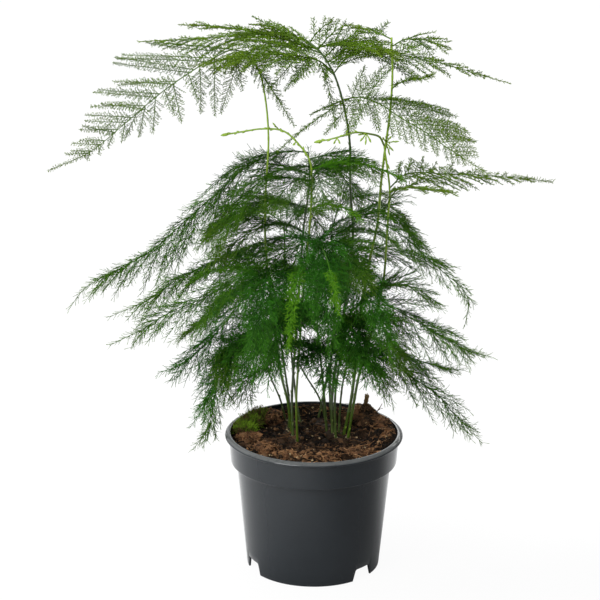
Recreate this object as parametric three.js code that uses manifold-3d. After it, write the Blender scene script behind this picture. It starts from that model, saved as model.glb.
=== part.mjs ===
// A potted asparagus fern: a 12 cm nursery pot, its soil, rhizome crowns, wiry stems and feathery fronds.
// Millimetres, +Z up. The origin is the centre of the pot's foot, on the surface that it stands on.
// +X is to the right and +Y to the back, as seen from the front.
import * as THREE from "three";
import { mergeVertices } from "three/addons/utils/BufferGeometryUtils.js";
import Module from "manifold-3d";

const wasm = await Module();
wasm.setup();

// Driving dimensions of the pot
const POT_HEIGHT = 94.4;
const RIM_RADIUS = 60;
const LIP_HEIGHT = 4; // the rolled lip under the rim
const LIP_OVERHANG = 2.6;
const COLLAR_BOTTOM = 74.6;
const COLLAR_BOTTOM_RADIUS = 56;
const SHOULDER_DROP = 2; // the collar turns in to the body over this height
const BODY_TOP_RADIUS = 52.1;
const FOOT_RADIUS = 44.9;
const WALL = 1.2;
const FLOOR_UNDERSIDE = 9;
const ROUND_STEPS = 44;

// The skirt's three notches and the floor's drain holes
const NOTCH_ANGLES = [48, 173, 296]; // degrees from the front, towards the right
const NOTCH_HEIGHT = 8;
const NOTCH_WIDE = 18;
const NOTCH_NARROW = 14;
const DRAIN_COUNT = 6;
const DRAIN_RADIUS = 3.5;
const DRAIN_RING = 29;

// The soil and what lies in it
const SOIL_LEVEL = 87.6;
const GAP = 0.35; // clearance between pieces that touch
const SOIL_RINGS = [0.35, 0.7, 0.82, 1]; // fractions of the pot's inner radius
const LUMP_STEPS = [9, 6];
const SOCKET_SIDES = 6;

// Stems and fronds
const STEM_SIDES = 5;
const STEM_STEPS = 12;
const STEM_DEPTH = 1.6; // how far a stem goes down into its crown, under the first point of its route
const SOCKET_HEIGHT = 7;
const BLADE_STEPS = 12;
const BLADE_THICKNESS = 1;
const BLADE_STALK = 0.6; // half the width of a frond's stalk
const BLADE_DROOP = 0.12; // how far the edges of a frond hang, as a share of its half width
const TOOTH = 0.72; // width of a frond between its side sprays, as a share of its full width

const COLOURS = {
  pot: 0x3a3f43,
  soil: 0x2c1c12,
  peat: 0x4a2c18,
  moss: 0x4f6d1c,
  crown: 0x8f8a5a,
  dry: 0x6b4a26,
  darkStem: 0x2f4a22,
  lightStem: 0x6f9a3a,
  upperFrond: 0x5f8f2e,
  lowerFrond: 0x1f5a1a,
  youngFrond: 0x5aa51e,
};

// Routes of the stems, from the soil up. Each has its radius, colour and hand-picked points.
const STEMS = {
  upper_left: [0.95, "lightStem", [[-15, 12, 87], [-18, 5, 115], [-22, 4, 132], [-29, 4, 186], [-33, 2, 228],
    [-33, 0, 256], [-31, 0, 297], [-33, 2, 323], [-37, 4, 341], [-43, 6, 351]]],
  tall_dark: [1.1, "darkStem", [[13, 9, 87], [12, 11, 112], [14, 14, 133], [19, 16, 168], [23, 17, 203],
    [25, 18, 227], [23, 18, 258], [22, 18, 292], [17, 18, 319], [11, 18, 337], [2, 20, 351], [-6, 24, 357]]],
  right_tall: [1.1, "lightStem", [[20, 8, 87], [25, 8, 114], [27, 8, 132], [31, 8, 178], [36, 8, 212],
    [41, 8, 239], [43, 8, 268], [45, 8, 288], [48, 8, 315], [49, 8, 338], [48, 8, 363]]],
  right_light: [1, "lightStem", [[23, 3, 87], [27, 2, 116], [30, 0, 135], [39, -3, 171], [45, -5, 203],
    [47, -6, 241], [48, -6, 265], [46, -4, 281], [44, -2, 294]]],
  crest_left: [0.9, "darkStem", [[-14, 4, 87], [-15, 6, 114], [-14, 8, 135], [-11, 12, 183], [-8, 16, 231],
    [-4, 18, 265], [-5, 20, 283]]],
  mid_left: [0.85, "darkStem", [[-17, 21, 87], [-17, 20, 109], [-19, 20, 124], [-23, 22, 152],
    [-26, 24, 179], [-30, 26, 196]]],
  low_left: [0.7, "darkStem", [[-19, 36, 87], [-23, 34, 104], [-29, 33, 119], [-36, 32, 137],
    [-42, 32, 152]]],
  slanting: [0.7, "darkStem", [[9, 25, 87], [4, 22, 109], [-6, 18, 128], [-15, 14, 147],
    [-23, 11, 164]]],
  mid_centre: [0.9, "darkStem", [[9, 15, 87], [7, 15, 112], [5, 12, 134], [2, 8, 164], [1, 4, 200],
    [-2, 0, 229]]],
  right_arch: [0.9, "darkStem", [[13, 17, 87], [11, 21, 109], [11, 24, 130], [13, 26, 158], [13, 28, 200],
    [10, 30, 230]]],
  right_low: [0.9, "darkStem", [[15, 3, 87], [14, 2, 116], [16, 0, 138], [20, -4, 164], [24, -8, 183]]],
  right_lowest: [0.8, "darkStem", [[17, 11, 87], [18, 11, 113], [21, 11, 134], [26, 12, 148],
    [32, 13, 157]]],
  back_left: [0.8, "darkStem", [[-9, 32, 87], [-12, 38, 102], [-17, 44, 151], [-20, 50, 192],
    [-21, 56, 223]]],
  back_right: [0.8, "darkStem", [[3, 40, 87], [6, 42, 101], [15, 48, 150], [21, 54, 191], [24, 60, 224]]],
  young_shoot_left: [0.8, "lightStem", [[-11, -3, 87], [-12, -9, 120], [-11, -12, 142], [-7, -16, 210],
    [-5, -16, 230], [-3, -14, 260], [-4, -10, 285], [-11, -6, 295], [-21, -2, 303], [-35, 4, 303],
    [-48, 8, 300], [-59, 12, 297]]],
};

// The young shoot at the right is a side branch, so it starts on its stem and not in the soil.
const SIDE_SHOOT = {
  name: "young_shoot_right",
  stem: "right_light",
  radius: 0.7,
  points: [[44, -2, 294], [41, -4, 300], [35, -8, 303], [25, -12, 305], [16, -14, 303], [9, -14, 301],
    [2, -12, 299]],
};

// Fronds: [stem, colour, tilt of the spray in degrees (0 lies flat, 90 stands on edge), half width to the
// left and to the right of its spine, points of the spine from the stem to the tip].
const FRONDS = {
  upper_left: ["upper_left", "upperFrond", 90, 20, 20, [[-43, 6, 351], [-48, 4, 354], [-55, 0, 356],
    [-65, -8, 353], [-81, -22, 346], [-99, -38, 336], [-120, -55, 321], [-141, -68, 306], [-166, -80, 297]]],
  top_left: ["tall_dark", "upperFrond", 0, 20, 18, [[-6, 24, 357], [-21, 28, 361], [-37, 32, 360],
    [-64, 40, 356], [-90, 48, 352], [-117, 56, 349]]],
  top_middle: ["tall_dark", "upperFrond", 0, 13, 16, [[9, 15, 340], [2, 8, 347], [-11, 0, 352],
    [-27, -8, 355], [-46, -16, 356], [-65, -22, 353], [-80, -26, 351]]],
  top_right: ["tall_dark", "upperFrond", 0, 18, 16, [[11, 21, 336], [19, 28, 344], [30, 32, 348],
    [50, 36, 346], [68, 40, 342], [88, 42, 337], [108, 42, 331], [127, 40, 326]]],
  crown_left: ["right_tall", "upperFrond", 0, 8, 8, [[48, 8, 362], [39, 14, 365], [32, 20, 366],
    [24, 26, 367]]],
  crown_right: ["right_tall", "upperFrond", 0, 8, 8, [[49, 6, 358], [56, 2, 363], [66, -2, 364],
    [75, -6, 363], [84, -8, 359]]],
  twig_right: ["right_tall", "youngFrond", 0, 7, 7, [[49, 6, 330], [55, 0, 336], [63, -6, 339],
    [69, -10, 341], [75, -14, 344]]],
  side_right: ["tall_dark", "upperFrond", 90, 18, 18, [[18, 16, 320], [28, 10, 323], [41, 0, 321],
    [54, -8, 314], [70, -18, 307], [85, -26, 298], [107, -36, 286]]],
  far_right: ["right_light", "upperFrond", 0, 14, 14, [[48, -5, 266], [56, 2, 272], [65, 12, 272],
    [82, 28, 267], [107, 48, 261], [136, 66, 254], [163, 82, 247]]],
  under_right: ["right_light", "upperFrond", 0, 10, 10, [[47, -6, 256], [52, -14, 267], [59, -24, 272],
    [70, -34, 274], [82, -44, 275], [89, -50, 274]]],
  crest_left: ["crest_left", "lowerFrond", 0, 18, 18, [[-5, 20, 283], [-17, 20, 284], [-35, 16, 280],
    [-51, 12, 271], [-68, 6, 256], [-86, 0, 241], [-105, -6, 225], [-125, -12, 214], [-142, -16, 206],
    [-153, -18, 198], [-161, -20, 187]]],
  left_two: ["mid_centre", "lowerFrond", 0, 15, 15, [[-2, 0, 227], [-17, 14, 227], [-36, 26, 219],
    [-54, 38, 209], [-75, 48, 196], [-96, 56, 182], [-115, 60, 167], [-141, 62, 154]]],
  left_three: ["mid_centre", "lowerFrond", 0, 14, 14, [[-2, 0, 229], [-17, -16, 227], [-35, -30, 222],
    [-52, -42, 214], [-71, -50, 205], [-92, -54, 197], [-112, -56, 185], [-132, -58, 175]]],
  left_four: ["mid_left", "lowerFrond", 0, 13, 13, [[-30, 26, 196], [-41, 40, 190], [-51, 52, 179],
    [-64, 62, 165], [-76, 68, 151], [-86, 72, 141], [-100, 74, 132]]],
  left_five: ["mid_left", "lowerFrond", 0, 14, 14, [[-30, 25, 194], [-40, 12, 192], [-50, 2, 184],
    [-61, -8, 172], [-73, -14, 160], [-84, -18, 151], [-94, -20, 146], [-104, -22, 143]]],
  left_six: ["slanting", "lowerFrond", 0, 13, 13, [[-23, 11, 164], [-33, 8, 167], [-44, -4, 165],
    [-56, -18, 155], [-66, -28, 140], [-73, -33, 124], [-82, -36, 110]]],
  left_seven: ["low_left", "lowerFrond", 0, 12, 12, [[-42, 32, 152], [-50, 28, 149], [-59, 24, 141],
    [-65, 20, 126], [-68, 16, 110], [-71, 12, 94], [-82, 8, 77]]],
  left_inner: ["low_left", "lowerFrond", 0, 10, 10, [[-41, 32, 149], [-46, 40, 146], [-52, 46, 136],
    [-56, 50, 122], [-60, 52, 106], [-63, 53, 91]]],
  crest_right: ["crest_left", "lowerFrond", 0, 13, 13, [[-4, 19, 279], [6, 8, 284], [19, -2, 286],
    [30, -10, 285], [43, -16, 276]]],
  right_two: ["right_arch", "lowerFrond", 0, 12, 12, [[11, 32, 226], [17, 38, 242], [27, 42, 247],
    [38, 46, 243], [52, 48, 237], [65, 50, 226]]],
  right_arch: ["right_arch", "lowerFrond", 0, 9, 15, [[10, 30, 230], [20, 16, 239], [32, -4, 246],
    [45, -19, 245], [58, -27, 239], [71, -32, 228], [84, -35, 217], [93, -37, 210], [99, -38, 200],
    [97, -38, 182]]],
  right_three: ["right_arch", "lowerFrond", 0, 14, 14, [[13, 28, 202], [24, 44, 209], [38, 58, 206],
    [55, 70, 201], [73, 78, 194], [87, 82, 189], [99, 84, 184]]],
  right_four: ["right_low", "lowerFrond", 0, 15, 15, [[24, -8, 183], [33, -16, 191], [46, -24, 192],
    [62, -32, 186], [81, -40, 177], [97, -46, 169], [114, -50, 166]]],
  right_five: ["right_lowest", "lowerFrond", 0, 13, 13, [[32, 13, 157], [41, 22, 153], [53, 32, 144],
    [67, 40, 133], [83, 44, 126], [104, 48, 121]]],
  right_six: ["right_lowest", "lowerFrond", 0, 13, 13, [[31, 13, 156], [40, 2, 153], [54, -8, 144],
    [67, -14, 137], [80, -20, 130], [93, -24, 116], [112, -28, 97]]],
  front_left: ["upper_left", "lowerFrond", 0, 14, 14, [[-31, 3, 200], [-31, -16, 214], [-32, -40, 216],
    [-34, -64, 209], [-36, -84, 198], [-38, -98, 186], [-39, -106, 175]]],
  front_bright: ["crest_left", "youngFrond", 0, 7, 7, [[-10, 14, 202], [-14, -4, 211], [-17, -24, 208],
    [-17, -42, 198], [-16, -52, 184], [-13, -58, 169]]],
  front_centre: ["mid_centre", "lowerFrond", 0, 14, 13, [[-1, 1, 222], [1, -18, 236], [3, -44, 236],
    [5, -68, 226], [7, -88, 211], [8, -102, 195], [8, -110, 183]]],
  front_right: ["right_arch", "lowerFrond", 0, 14, 14, [[13, 28, 196], [18, 2, 213], [25, -28, 215],
    [34, -54, 208], [41, -74, 197], [46, -88, 186], [49, -94, 175]]],
  front_low: ["right_low", "youngFrond", 0, 9, 9, [[20, -4, 164], [20, -20, 168], [20, -36, 164],
    [22, -46, 156], [23, -52, 147]]],
  back_left: ["back_left", "lowerFrond", 0, 15, 15, [[-21, 56, 223], [-31, 68, 227], [-43, 80, 225],
    [-57, 92, 217], [-72, 102, 204], [-83, 108, 188]]],
  back_centre: ["back_left", "lowerFrond", 0, 13, 13, [[-21, 55, 218], [-14, 72, 226], [-8, 86, 226],
    [-4, 98, 221], [0, 106, 210], [3, 112, 195]]],
  back_right: ["back_right", "lowerFrond", 0, 15, 15, [[24, 59, 221], [32, 70, 229], [43, 80, 227],
    [56, 90, 218], [68, 98, 204], [80, 102, 188]]],
  back_low: ["back_right", "lowerFrond", 0, 12, 12, [[22, 55, 196], [26, 68, 198], [26, 80, 192],
    [25, 92, 178], [24, 100, 162], [23, 104, 145]]],
};

// Rounded lumps: centre, radii
const CROWN_LUMPS = {
  crown_left: [[-13, 3, 86, 6, 8, 3.4], [-15, 14, 86, 6, 8, 3.6], [-15, 25, 86, 7, 8, 3.2],
    [-16, 35, 86, 8, 6, 3]],
  crown_right: [[19, 5, 86, 7.5, 6, 3.4], [14, 12, 86, 8, 8, 3.8], [9, 24, 86, 6, 8, 3.2],
    [4, 36, 86, 6, 9, 3]],
};
const MOSS_LUMPS = [[-49, 14, 89, 9, 9, 4], [-46, 25, 89.5, 10, 9, 4.6], [-40, 37, 89.5, 9, 9, 5.4]];
const MOUND_LUMPS = [[33, 38, 90, 14, 11, 9.2], [42, 27, 89.5, 11, 11, 6]];
const STUB = { radius: 1.7, from: [35, 39, 96], to: [37, 41, 106] };
const TWIG = { radius: 0.6, from: [42, 33, 93], to: [47, 36, 101] };

const UP = new THREE.Vector3(0, 0, 1);
const vec = ([x, y, z]) => new THREE.Vector3(x, y, z);
const lowered = ([x, y, z]) => new THREE.Vector3(x, y, z - GAP);
const mix = THREE.MathUtils.lerp;
const smooth = THREE.MathUtils.smoothstep;

// Solids: a closed geometry as something that can be cut and joined, and back again.
function solid(geometry) {
  const bare = geometry.clone();
  bare.deleteAttribute("normal");
  bare.deleteAttribute("uv");
  const merged = mergeVertices(bare, 1e-4);
  return new wasm.Manifold(
    new wasm.Mesh({
      numProp: 3,
      vertProperties: merged.attributes.position.array,
      triVerts: new Uint32Array(merged.index.array),
    }),
  );
}

function geometryOf(made) {
  const mesh = made.getMesh();
  const geometry = new THREE.BufferGeometry();
  geometry.setAttribute("position", new THREE.BufferAttribute(mesh.vertProperties, 3));
  geometry.setIndex(new THREE.BufferAttribute(mesh.triVerts, 1));
  geometry.computeVertexNormals();
  return geometry;
}

// A turned shape about +Z, from a list of [radius, height]
function turned(profile) {
  const points = profile.map(([r, z]) => new THREE.Vector2(r, z));
  const geometry = new THREE.LatheGeometry(points, ROUND_STEPS);
  return geometry.rotateX(Math.PI / 2);
}

// A straight round peg between two points
function peg(from, to, radius, sides = 10) {
  const path = new THREE.LineCurve3(from, to);
  const options = { extrudePath: path, steps: 1, bevelEnabled: false };
  return new THREE.ExtrudeGeometry(ring(radius, sides), options);
}

function ring(radius, sides) {
  const shape = new THREE.Shape();
  for (let i = 0; i < sides; i++) {
    const a = (i / sides) * 2 * Math.PI;
    if (i === 0) shape.moveTo(radius * Math.cos(a), radius * Math.sin(a));
    else shape.lineTo(radius * Math.cos(a), radius * Math.sin(a));
  }
  shape.closePath();
  return shape;
}

// The pot's inner radius at a height, from the floor to the rim
function innerRadius(z) {
  const inside = COLLAR_BOTTOM + WALL;
  const shoulder = COLLAR_BOTTOM - SHOULDER_DROP + WALL;
  if (z >= inside) {
    return mix(COLLAR_BOTTOM_RADIUS, RIM_RADIUS - LIP_OVERHANG, (z - inside) / (POT_HEIGHT - inside)) - WALL;
  }
  if (z >= shoulder) {
    return mix(BODY_TOP_RADIUS, COLLAR_BOTTOM_RADIUS, (z - shoulder) / (inside - shoulder)) - WALL;
  }
  return mix(FOOT_RADIUS, BODY_TOP_RADIUS, z / shoulder) - WALL;
}

function pot() {
  const lipInner = RIM_RADIUS - LIP_OVERHANG;
  const floorTop = FLOOR_UNDERSIDE + WALL;
  let made = solid(turned([
    [0, FLOOR_UNDERSIDE],
    [innerRadius(FLOOR_UNDERSIDE), FLOOR_UNDERSIDE],
    [FOOT_RADIUS - WALL, 0],
    [FOOT_RADIUS, 0],
    [BODY_TOP_RADIUS, COLLAR_BOTTOM - SHOULDER_DROP],
    [COLLAR_BOTTOM_RADIUS, COLLAR_BOTTOM],
    [lipInner, POT_HEIGHT - LIP_HEIGHT],
    [RIM_RADIUS - 0.4, POT_HEIGHT - LIP_HEIGHT / 2],
    [RIM_RADIUS, POT_HEIGHT - 0.6],
    [RIM_RADIUS - 0.8, POT_HEIGHT],
    [innerRadius(POT_HEIGHT), POT_HEIGHT],
    [innerRadius(COLLAR_BOTTOM + WALL), COLLAR_BOTTOM + WALL],
    [innerRadius(COLLAR_BOTTOM - SHOULDER_DROP + WALL), COLLAR_BOTTOM - SHOULDER_DROP + WALL],
    [innerRadius(floorTop), floorTop],
    [0, floorTop],
  ]));
  for (const angle of NOTCH_ANGLES) made = made.subtract(notch(angle));
  for (let i = 0; i < DRAIN_COUNT; i++) {
    const a = ((i + 0.5) / DRAIN_COUNT) * 2 * Math.PI;
    const under = new THREE.Vector3(DRAIN_RING * Math.cos(a), DRAIN_RING * Math.sin(a), FLOOR_UNDERSIDE - 1);
    const over = under.clone().setZ(FLOOR_UNDERSIDE + WALL + 1);
    made = made.subtract(solid(peg(under, over, DRAIN_RADIUS, 12)));
  }
  return geometryOf(made);
}

// A notch in the skirt: a wedge with round top corners, pushed out through the wall
function notch(angle) {
  const corner = 2;
  const shape = new THREE.Shape();
  shape.moveTo(-NOTCH_WIDE / 2, -1);
  shape.lineTo(NOTCH_WIDE / 2, -1);
  shape.lineTo(NOTCH_NARROW / 2, NOTCH_HEIGHT - corner);
  shape.quadraticCurveTo(NOTCH_NARROW / 2, NOTCH_HEIGHT, NOTCH_NARROW / 2 - corner, NOTCH_HEIGHT);
  shape.lineTo(corner - NOTCH_NARROW / 2, NOTCH_HEIGHT);
  shape.quadraticCurveTo(-NOTCH_NARROW / 2, NOTCH_HEIGHT, -NOTCH_NARROW / 2, NOTCH_HEIGHT - corner);
  shape.closePath();
  const reach = 12;
  const geometry = new THREE.ExtrudeGeometry(shape, { depth: reach, bevelEnabled: false, curveSegments: 3 });
  geometry.rotateX(Math.PI / 2);
  geometry.translate(0, -(FOOT_RADIUS - reach / 2 - 4), 0);
  geometry.rotateZ(THREE.MathUtils.degToRad(angle));
  return solid(geometry);
}

// The space inside the pot, less the clearance, open upwards past the rim
function insideOfPot() {
  const bottom = FLOOR_UNDERSIDE + WALL + GAP;
  const shoulder = COLLAR_BOTTOM - SHOULDER_DROP + WALL;
  const heights = [bottom, shoulder, COLLAR_BOTTOM + WALL + GAP, POT_HEIGHT];
  const top = POT_HEIGHT + 20;
  const profile = [[0, bottom], ...heights.map((z) => [innerRadius(z) - GAP, z])];
  profile.push([innerRadius(POT_HEIGHT) - GAP, top], [0, top]);
  return solid(turned(profile));
}

// Height of the soil: it climbs to the rim at the right and bulges at the left front.
function soilHeight(x, y) {
  const rightBank = 4.4 * smooth(x, 26, 52) * smooth(y, -38, -8);
  const leftBulge = 3 * Math.exp(-((x + 45) ** 2 + (y - 2) ** 2) / 160);
  const backBank = 4.6 * smooth(Math.hypot(x, y), 41, 53) * smooth(y, -5, 25) * smooth(x, -24, -6);
  const ripple = 0.5 * Math.sin(0.31 * x + 1) * Math.cos(0.27 * y - 0.5);
  return SOIL_LEVEL + Math.max(rightBank, backBank) + leftBulge + ripple;
}

// A lathe body whose top rings follow the soil height
function soilBody() {
  const bottom = FLOOR_UNDERSIDE + WALL + GAP;
  const shoulder = COLLAR_BOTTOM - SHOULDER_DROP + WALL;
  const flare = COLLAR_BOTTOM + WALL + GAP;
  const edge = innerRadius(SOIL_LEVEL) - GAP;
  const profile = [[0, bottom]];
  for (const z of [bottom, shoulder, flare]) profile.push([innerRadius(z) - GAP, z]);
  for (const share of [...SOIL_RINGS].reverse()) profile.push([edge * share, SOIL_LEVEL]);
  profile.push([0, SOIL_LEVEL]);
  const geometry = turned(profile);
  const p = geometry.attributes.position;
  for (let i = 0; i < p.count; i++) {
    if (p.getZ(i) < SOIL_LEVEL - 0.01) continue;
    const top = soilHeight(p.getX(i), p.getY(i));
    const r = Math.hypot(p.getX(i), p.getY(i));
    const out = r > edge - 1 ? (innerRadius(top) - GAP) / edge : 1;
    p.setXYZ(i, p.getX(i) * out, p.getY(i) * out, top);
  }
  return solid(geometry);
}

// Joined rounded lumps, each grown by a clearance
function lumps(list, clearance = 0) {
  let made = null;
  for (const [x, y, z, rx, ry, rz] of list) {
    const ball = new THREE.SphereGeometry(1, ...LUMP_STEPS).rotateX(Math.PI / 2);
    ball.scale(rx + clearance, ry + clearance, rz + clearance).translate(x, y, z);
    made = made ? made.add(solid(ball)) : solid(ball);
  }
  return made;
}

function curveOf(points) {
  return new THREE.CatmullRomCurve3(points.map((p) => (p.isVector3 ? p : vec(p))), false, "centripetal");
}

// A stem's route starts under its first point, down in the crown.
function stemCurve(points) {
  const first = vec(points[0]);
  const down = first.clone().sub(vec(points[1])).normalize().multiplyScalar(STEM_DEPTH);
  return curveOf([first.clone().add(down), ...points]);
}

function tube(curve, radius) {
  const options = { extrudePath: curve, steps: STEM_STEPS, bevelEnabled: false };
  return new THREE.ExtrudeGeometry(ring(radius, STEM_SIDES), options);
}

// The hole that a stem's foot stands in
function socket(points, radius) {
  const first = vec(points[0]);
  const along = vec(points[1]).sub(first).normalize();
  const from = first.clone().addScaledVector(along, -STEM_DEPTH - GAP);
  return solid(peg(from, from.clone().addScaledVector(along, SOCKET_HEIGHT), radius + 0.55, SOCKET_SIDES));
}

// The point of a curve nearest to another point, as a share of its length
function nearestShare(curve, point) {
  let best = 0;
  let least = Infinity;
  for (let u = 0; u <= 1; u += 0.0025) {
    const d = curve.getPointAt(u).distanceTo(point);
    if (d < least) [least, best] = [d, u];
  }
  return best;
}

// Where a frond's stalk starts: just clear of its stem, in the direction that it leaves.
function stalkStart(stem, points) {
  const share = nearestShare(stem.curve, vec(points[0]));
  const on = stem.curve.getPointAt(share);
  const away = vec(points[1]).sub(on).normalize();
  const cosine = Math.abs(away.dot(stem.curve.getTangentAt(share)));
  const sine = Math.sqrt(1 - cosine * cosine);
  const corner = Math.hypot(BLADE_STALK, BLADE_THICKNESS / 2);
  const fromSide = (stem.radius + GAP + corner * cosine) / Math.max(sine, 0.4);
  const fromEnd = (GAP + corner * sine) / Math.max(cosine, 0.1);
  return on.addScaledVector(away, share > 0.99 ? Math.min(fromSide, fromEnd) : fromSide);
}

// A frond as a thin bent blade with a toothed outline
function blade(stem, tilt, left, right, points) {
  const curve = curveOf([stalkStart(stem, points), ...points.slice(1)]);
  const heading = curve.getPointAt(1).sub(curve.getPointAt(0));
  const level = new THREE.Vector3().crossVectors(UP, heading).normalize();
  const turn = THREE.MathUtils.degToRad(tilt);
  const box = new THREE.BoxGeometry(1, 2, 1, BLADE_STEPS, 2, 1);
  const p = box.attributes.position;
  for (let i = 0; i < p.count; i++) {
    const u = THREE.MathUtils.clamp(p.getX(i) + 0.5, 0, 1);
    const v = p.getY(i);
    const along = curve.getTangentAt(u);
    const side = level.clone().addScaledVector(along, -level.dot(along)).normalize();
    const rise = new THREE.Vector3().crossVectors(along, side).normalize();
    const across = side.clone().multiplyScalar(Math.cos(turn)).addScaledVector(rise, Math.sin(turn));
    const normal = new THREE.Vector3().crossVectors(along, across).normalize();
    const open = Math.max(0, (u - 0.1) / 0.9);
    const tooth = Math.round(u * BLADE_STEPS) % 2 ? TOOTH : 1;
    const reach = (v > 0 ? left : right) * Math.sin(Math.PI * open ** 0.75) * tooth;
    const half = BLADE_STALK + Math.max(0, reach);
    const lift = p.getZ(i) * BLADE_THICKNESS - BLADE_DROOP * v * v * (half - BLADE_STALK);
    const at = curve.getPointAt(u).addScaledVector(across, v * half).addScaledVector(normal, lift);
    p.setXYZ(i, at.x, at.y, at.z);
  }
  return box;
}

const fern = new THREE.Group();

function place(name, geometry, colour, roughness = 0.8) {
  const material = new THREE.MeshStandardMaterial({ color: COLOURS[colour], roughness, metalness: 0 });
  const mesh = new THREE.Mesh(geometry, material);
  mesh.name = name;
  fern.add(mesh);
}

// Pot, and the soil with a pocket for everything that is bedded in it
place("nursery_pot", pot(), "pot", 0.4);

const space = insideOfPot();
const sockets = Object.values(STEMS).map(([radius, , points]) => socket(points, radius));
const stub = peg(vec(STUB.from), vec(STUB.to), STUB.radius, 8);
const twig = peg(vec(TWIG.from), vec(TWIG.to), TWIG.radius, 6);
const stubHole = solid(peg(lowered(STUB.from), vec(STUB.to), STUB.radius + 0.5));
const twigHole = solid(peg(lowered(TWIG.from), vec(TWIG.to), TWIG.radius + 0.4));

let soil = soilBody();
for (const list of [...Object.values(CROWN_LUMPS), MOSS_LUMPS, MOUND_LUMPS]) {
  soil = soil.subtract(lumps(list, GAP));
}
for (const hole of sockets) soil = soil.subtract(hole);
place("potting_soil", geometryOf(soil), "soil", 0.95);

for (const [name, list] of Object.entries(CROWN_LUMPS)) {
  let crown = lumps(list);
  for (const hole of sockets) crown = crown.subtract(hole);
  place(name, geometryOf(crown), "crown");
}
place("moss_patch", geometryOf(lumps(MOSS_LUMPS).intersect(space)), "moss", 0.95);
const mound = lumps(MOUND_LUMPS).intersect(space).subtract(stubHole).subtract(twigHole);
place("peat_mound", geometryOf(mound), "peat", 0.95);
place("stem_stub", stub, "dry");
place("dry_twig", twig, "dry");

// Stems
const stems = {};
for (const [name, [radius, colour, points]] of Object.entries(STEMS)) {
  stems[name] = { radius, curve: stemCurve(points) };
  place(name.startsWith("young") ? name : "stem_" + name, tube(stems[name].curve, radius), colour, 0.5);
}
const shootStart = stalkStart(stems[SIDE_SHOOT.stem], SIDE_SHOOT.points);
const shootCurve = curveOf([shootStart, ...SIDE_SHOOT.points.slice(1)]);
place(SIDE_SHOOT.name, tube(shootCurve, SIDE_SHOOT.radius), "lightStem", 0.5);

// Fronds
for (const [name, [stem, colour, tilt, left, right, points]] of Object.entries(FRONDS)) {
  place("frond_" + name, blade(stems[stem], tilt, left, right, points), colour, 0.6);
}

export default fern;
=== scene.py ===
# %% [markdown]
# A potted asparagus fern in a photo studio.
# The plant stands in a twelve centimetre nursery pot. Its stems are bare wires, and each carries feathery
# sprays of thousands of needles, so almost everything here is thin geometry rather than a picture on a
# surface. The first cell loads the plain construction model. Most later pieces take the place of one of its
# nodes.

import math

import bpy
import numpy as np
from mathutils import Matrix, Vector, noise


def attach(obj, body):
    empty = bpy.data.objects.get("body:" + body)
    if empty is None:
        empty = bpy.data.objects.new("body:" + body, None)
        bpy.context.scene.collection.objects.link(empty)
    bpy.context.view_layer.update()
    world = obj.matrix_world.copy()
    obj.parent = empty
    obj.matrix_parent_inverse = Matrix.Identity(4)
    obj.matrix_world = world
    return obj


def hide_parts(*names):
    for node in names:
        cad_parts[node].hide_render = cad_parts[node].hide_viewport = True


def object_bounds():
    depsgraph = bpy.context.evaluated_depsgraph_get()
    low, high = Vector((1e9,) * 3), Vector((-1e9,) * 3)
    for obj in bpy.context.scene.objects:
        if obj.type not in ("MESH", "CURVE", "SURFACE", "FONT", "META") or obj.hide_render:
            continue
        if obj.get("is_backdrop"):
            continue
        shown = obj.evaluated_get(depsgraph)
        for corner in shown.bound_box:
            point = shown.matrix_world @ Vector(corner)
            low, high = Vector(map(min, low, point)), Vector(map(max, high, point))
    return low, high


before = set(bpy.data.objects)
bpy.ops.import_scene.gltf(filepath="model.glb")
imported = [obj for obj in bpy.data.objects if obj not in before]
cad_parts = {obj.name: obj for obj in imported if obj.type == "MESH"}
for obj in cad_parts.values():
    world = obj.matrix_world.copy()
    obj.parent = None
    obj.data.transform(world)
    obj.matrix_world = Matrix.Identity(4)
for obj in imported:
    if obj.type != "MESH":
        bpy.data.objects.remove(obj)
cad_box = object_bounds()
MM = 0.001
UP = np.array([0.0, 0.0, 1.0])
print("nodes", len(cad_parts), "box", [[round(v, 4) for v in corner] for corner in cad_box])

# %% [markdown]
# The camera. A product picture of a tall plant is taken from far away with a long lens, which keeps the
# pot's sides almost straight. The elevation follows from how open the rim's ellipse looks, and the distance
# from how much flatter the rim looks than the foot. The small roll is in the photograph too: the rim leans
# to the right.

# %% Camera
CAMERA_ELEVATION = math.radians(18.219)
CAMERA_DISTANCE = 1.65
CAMERA_TARGET = Vector((-0.00992, 0.0, 0.18737))
CAMERA_ROLL = math.radians(0.34)
LENS_MM = 149.35
SENSOR_MM = 36.0
CLIP_RANGE = (0.05, 40.0)


def aim_camera():
    forward = Vector((0, math.cos(CAMERA_ELEVATION), -math.sin(CAMERA_ELEVATION)))
    right = Vector((1, 0, 0))
    over = right.cross(forward)
    rolled_right = right * math.cos(CAMERA_ROLL) + over * math.sin(CAMERA_ROLL)
    rolled_over = over * math.cos(CAMERA_ROLL) - right * math.sin(CAMERA_ROLL)
    turn = Matrix((rolled_right, rolled_over, -forward)).transposed().to_4x4()
    data = bpy.data.cameras.new("studio_camera")
    data.lens = LENS_MM
    data.sensor_width = SENSOR_MM
    data.sensor_fit = "HORIZONTAL"
    data.clip_start, data.clip_end = CLIP_RANGE
    camera = bpy.data.objects.new("studio_camera", data)
    camera.matrix_world = Matrix.Translation(CAMERA_TARGET - forward * CAMERA_DISTANCE) @ turn
    bpy.context.collection.objects.link(camera)
    bpy.context.scene.camera = camera
    return camera


camera = aim_camera()
print("camera at", [round(v, 3) for v in camera.matrix_world.translation])

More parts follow.
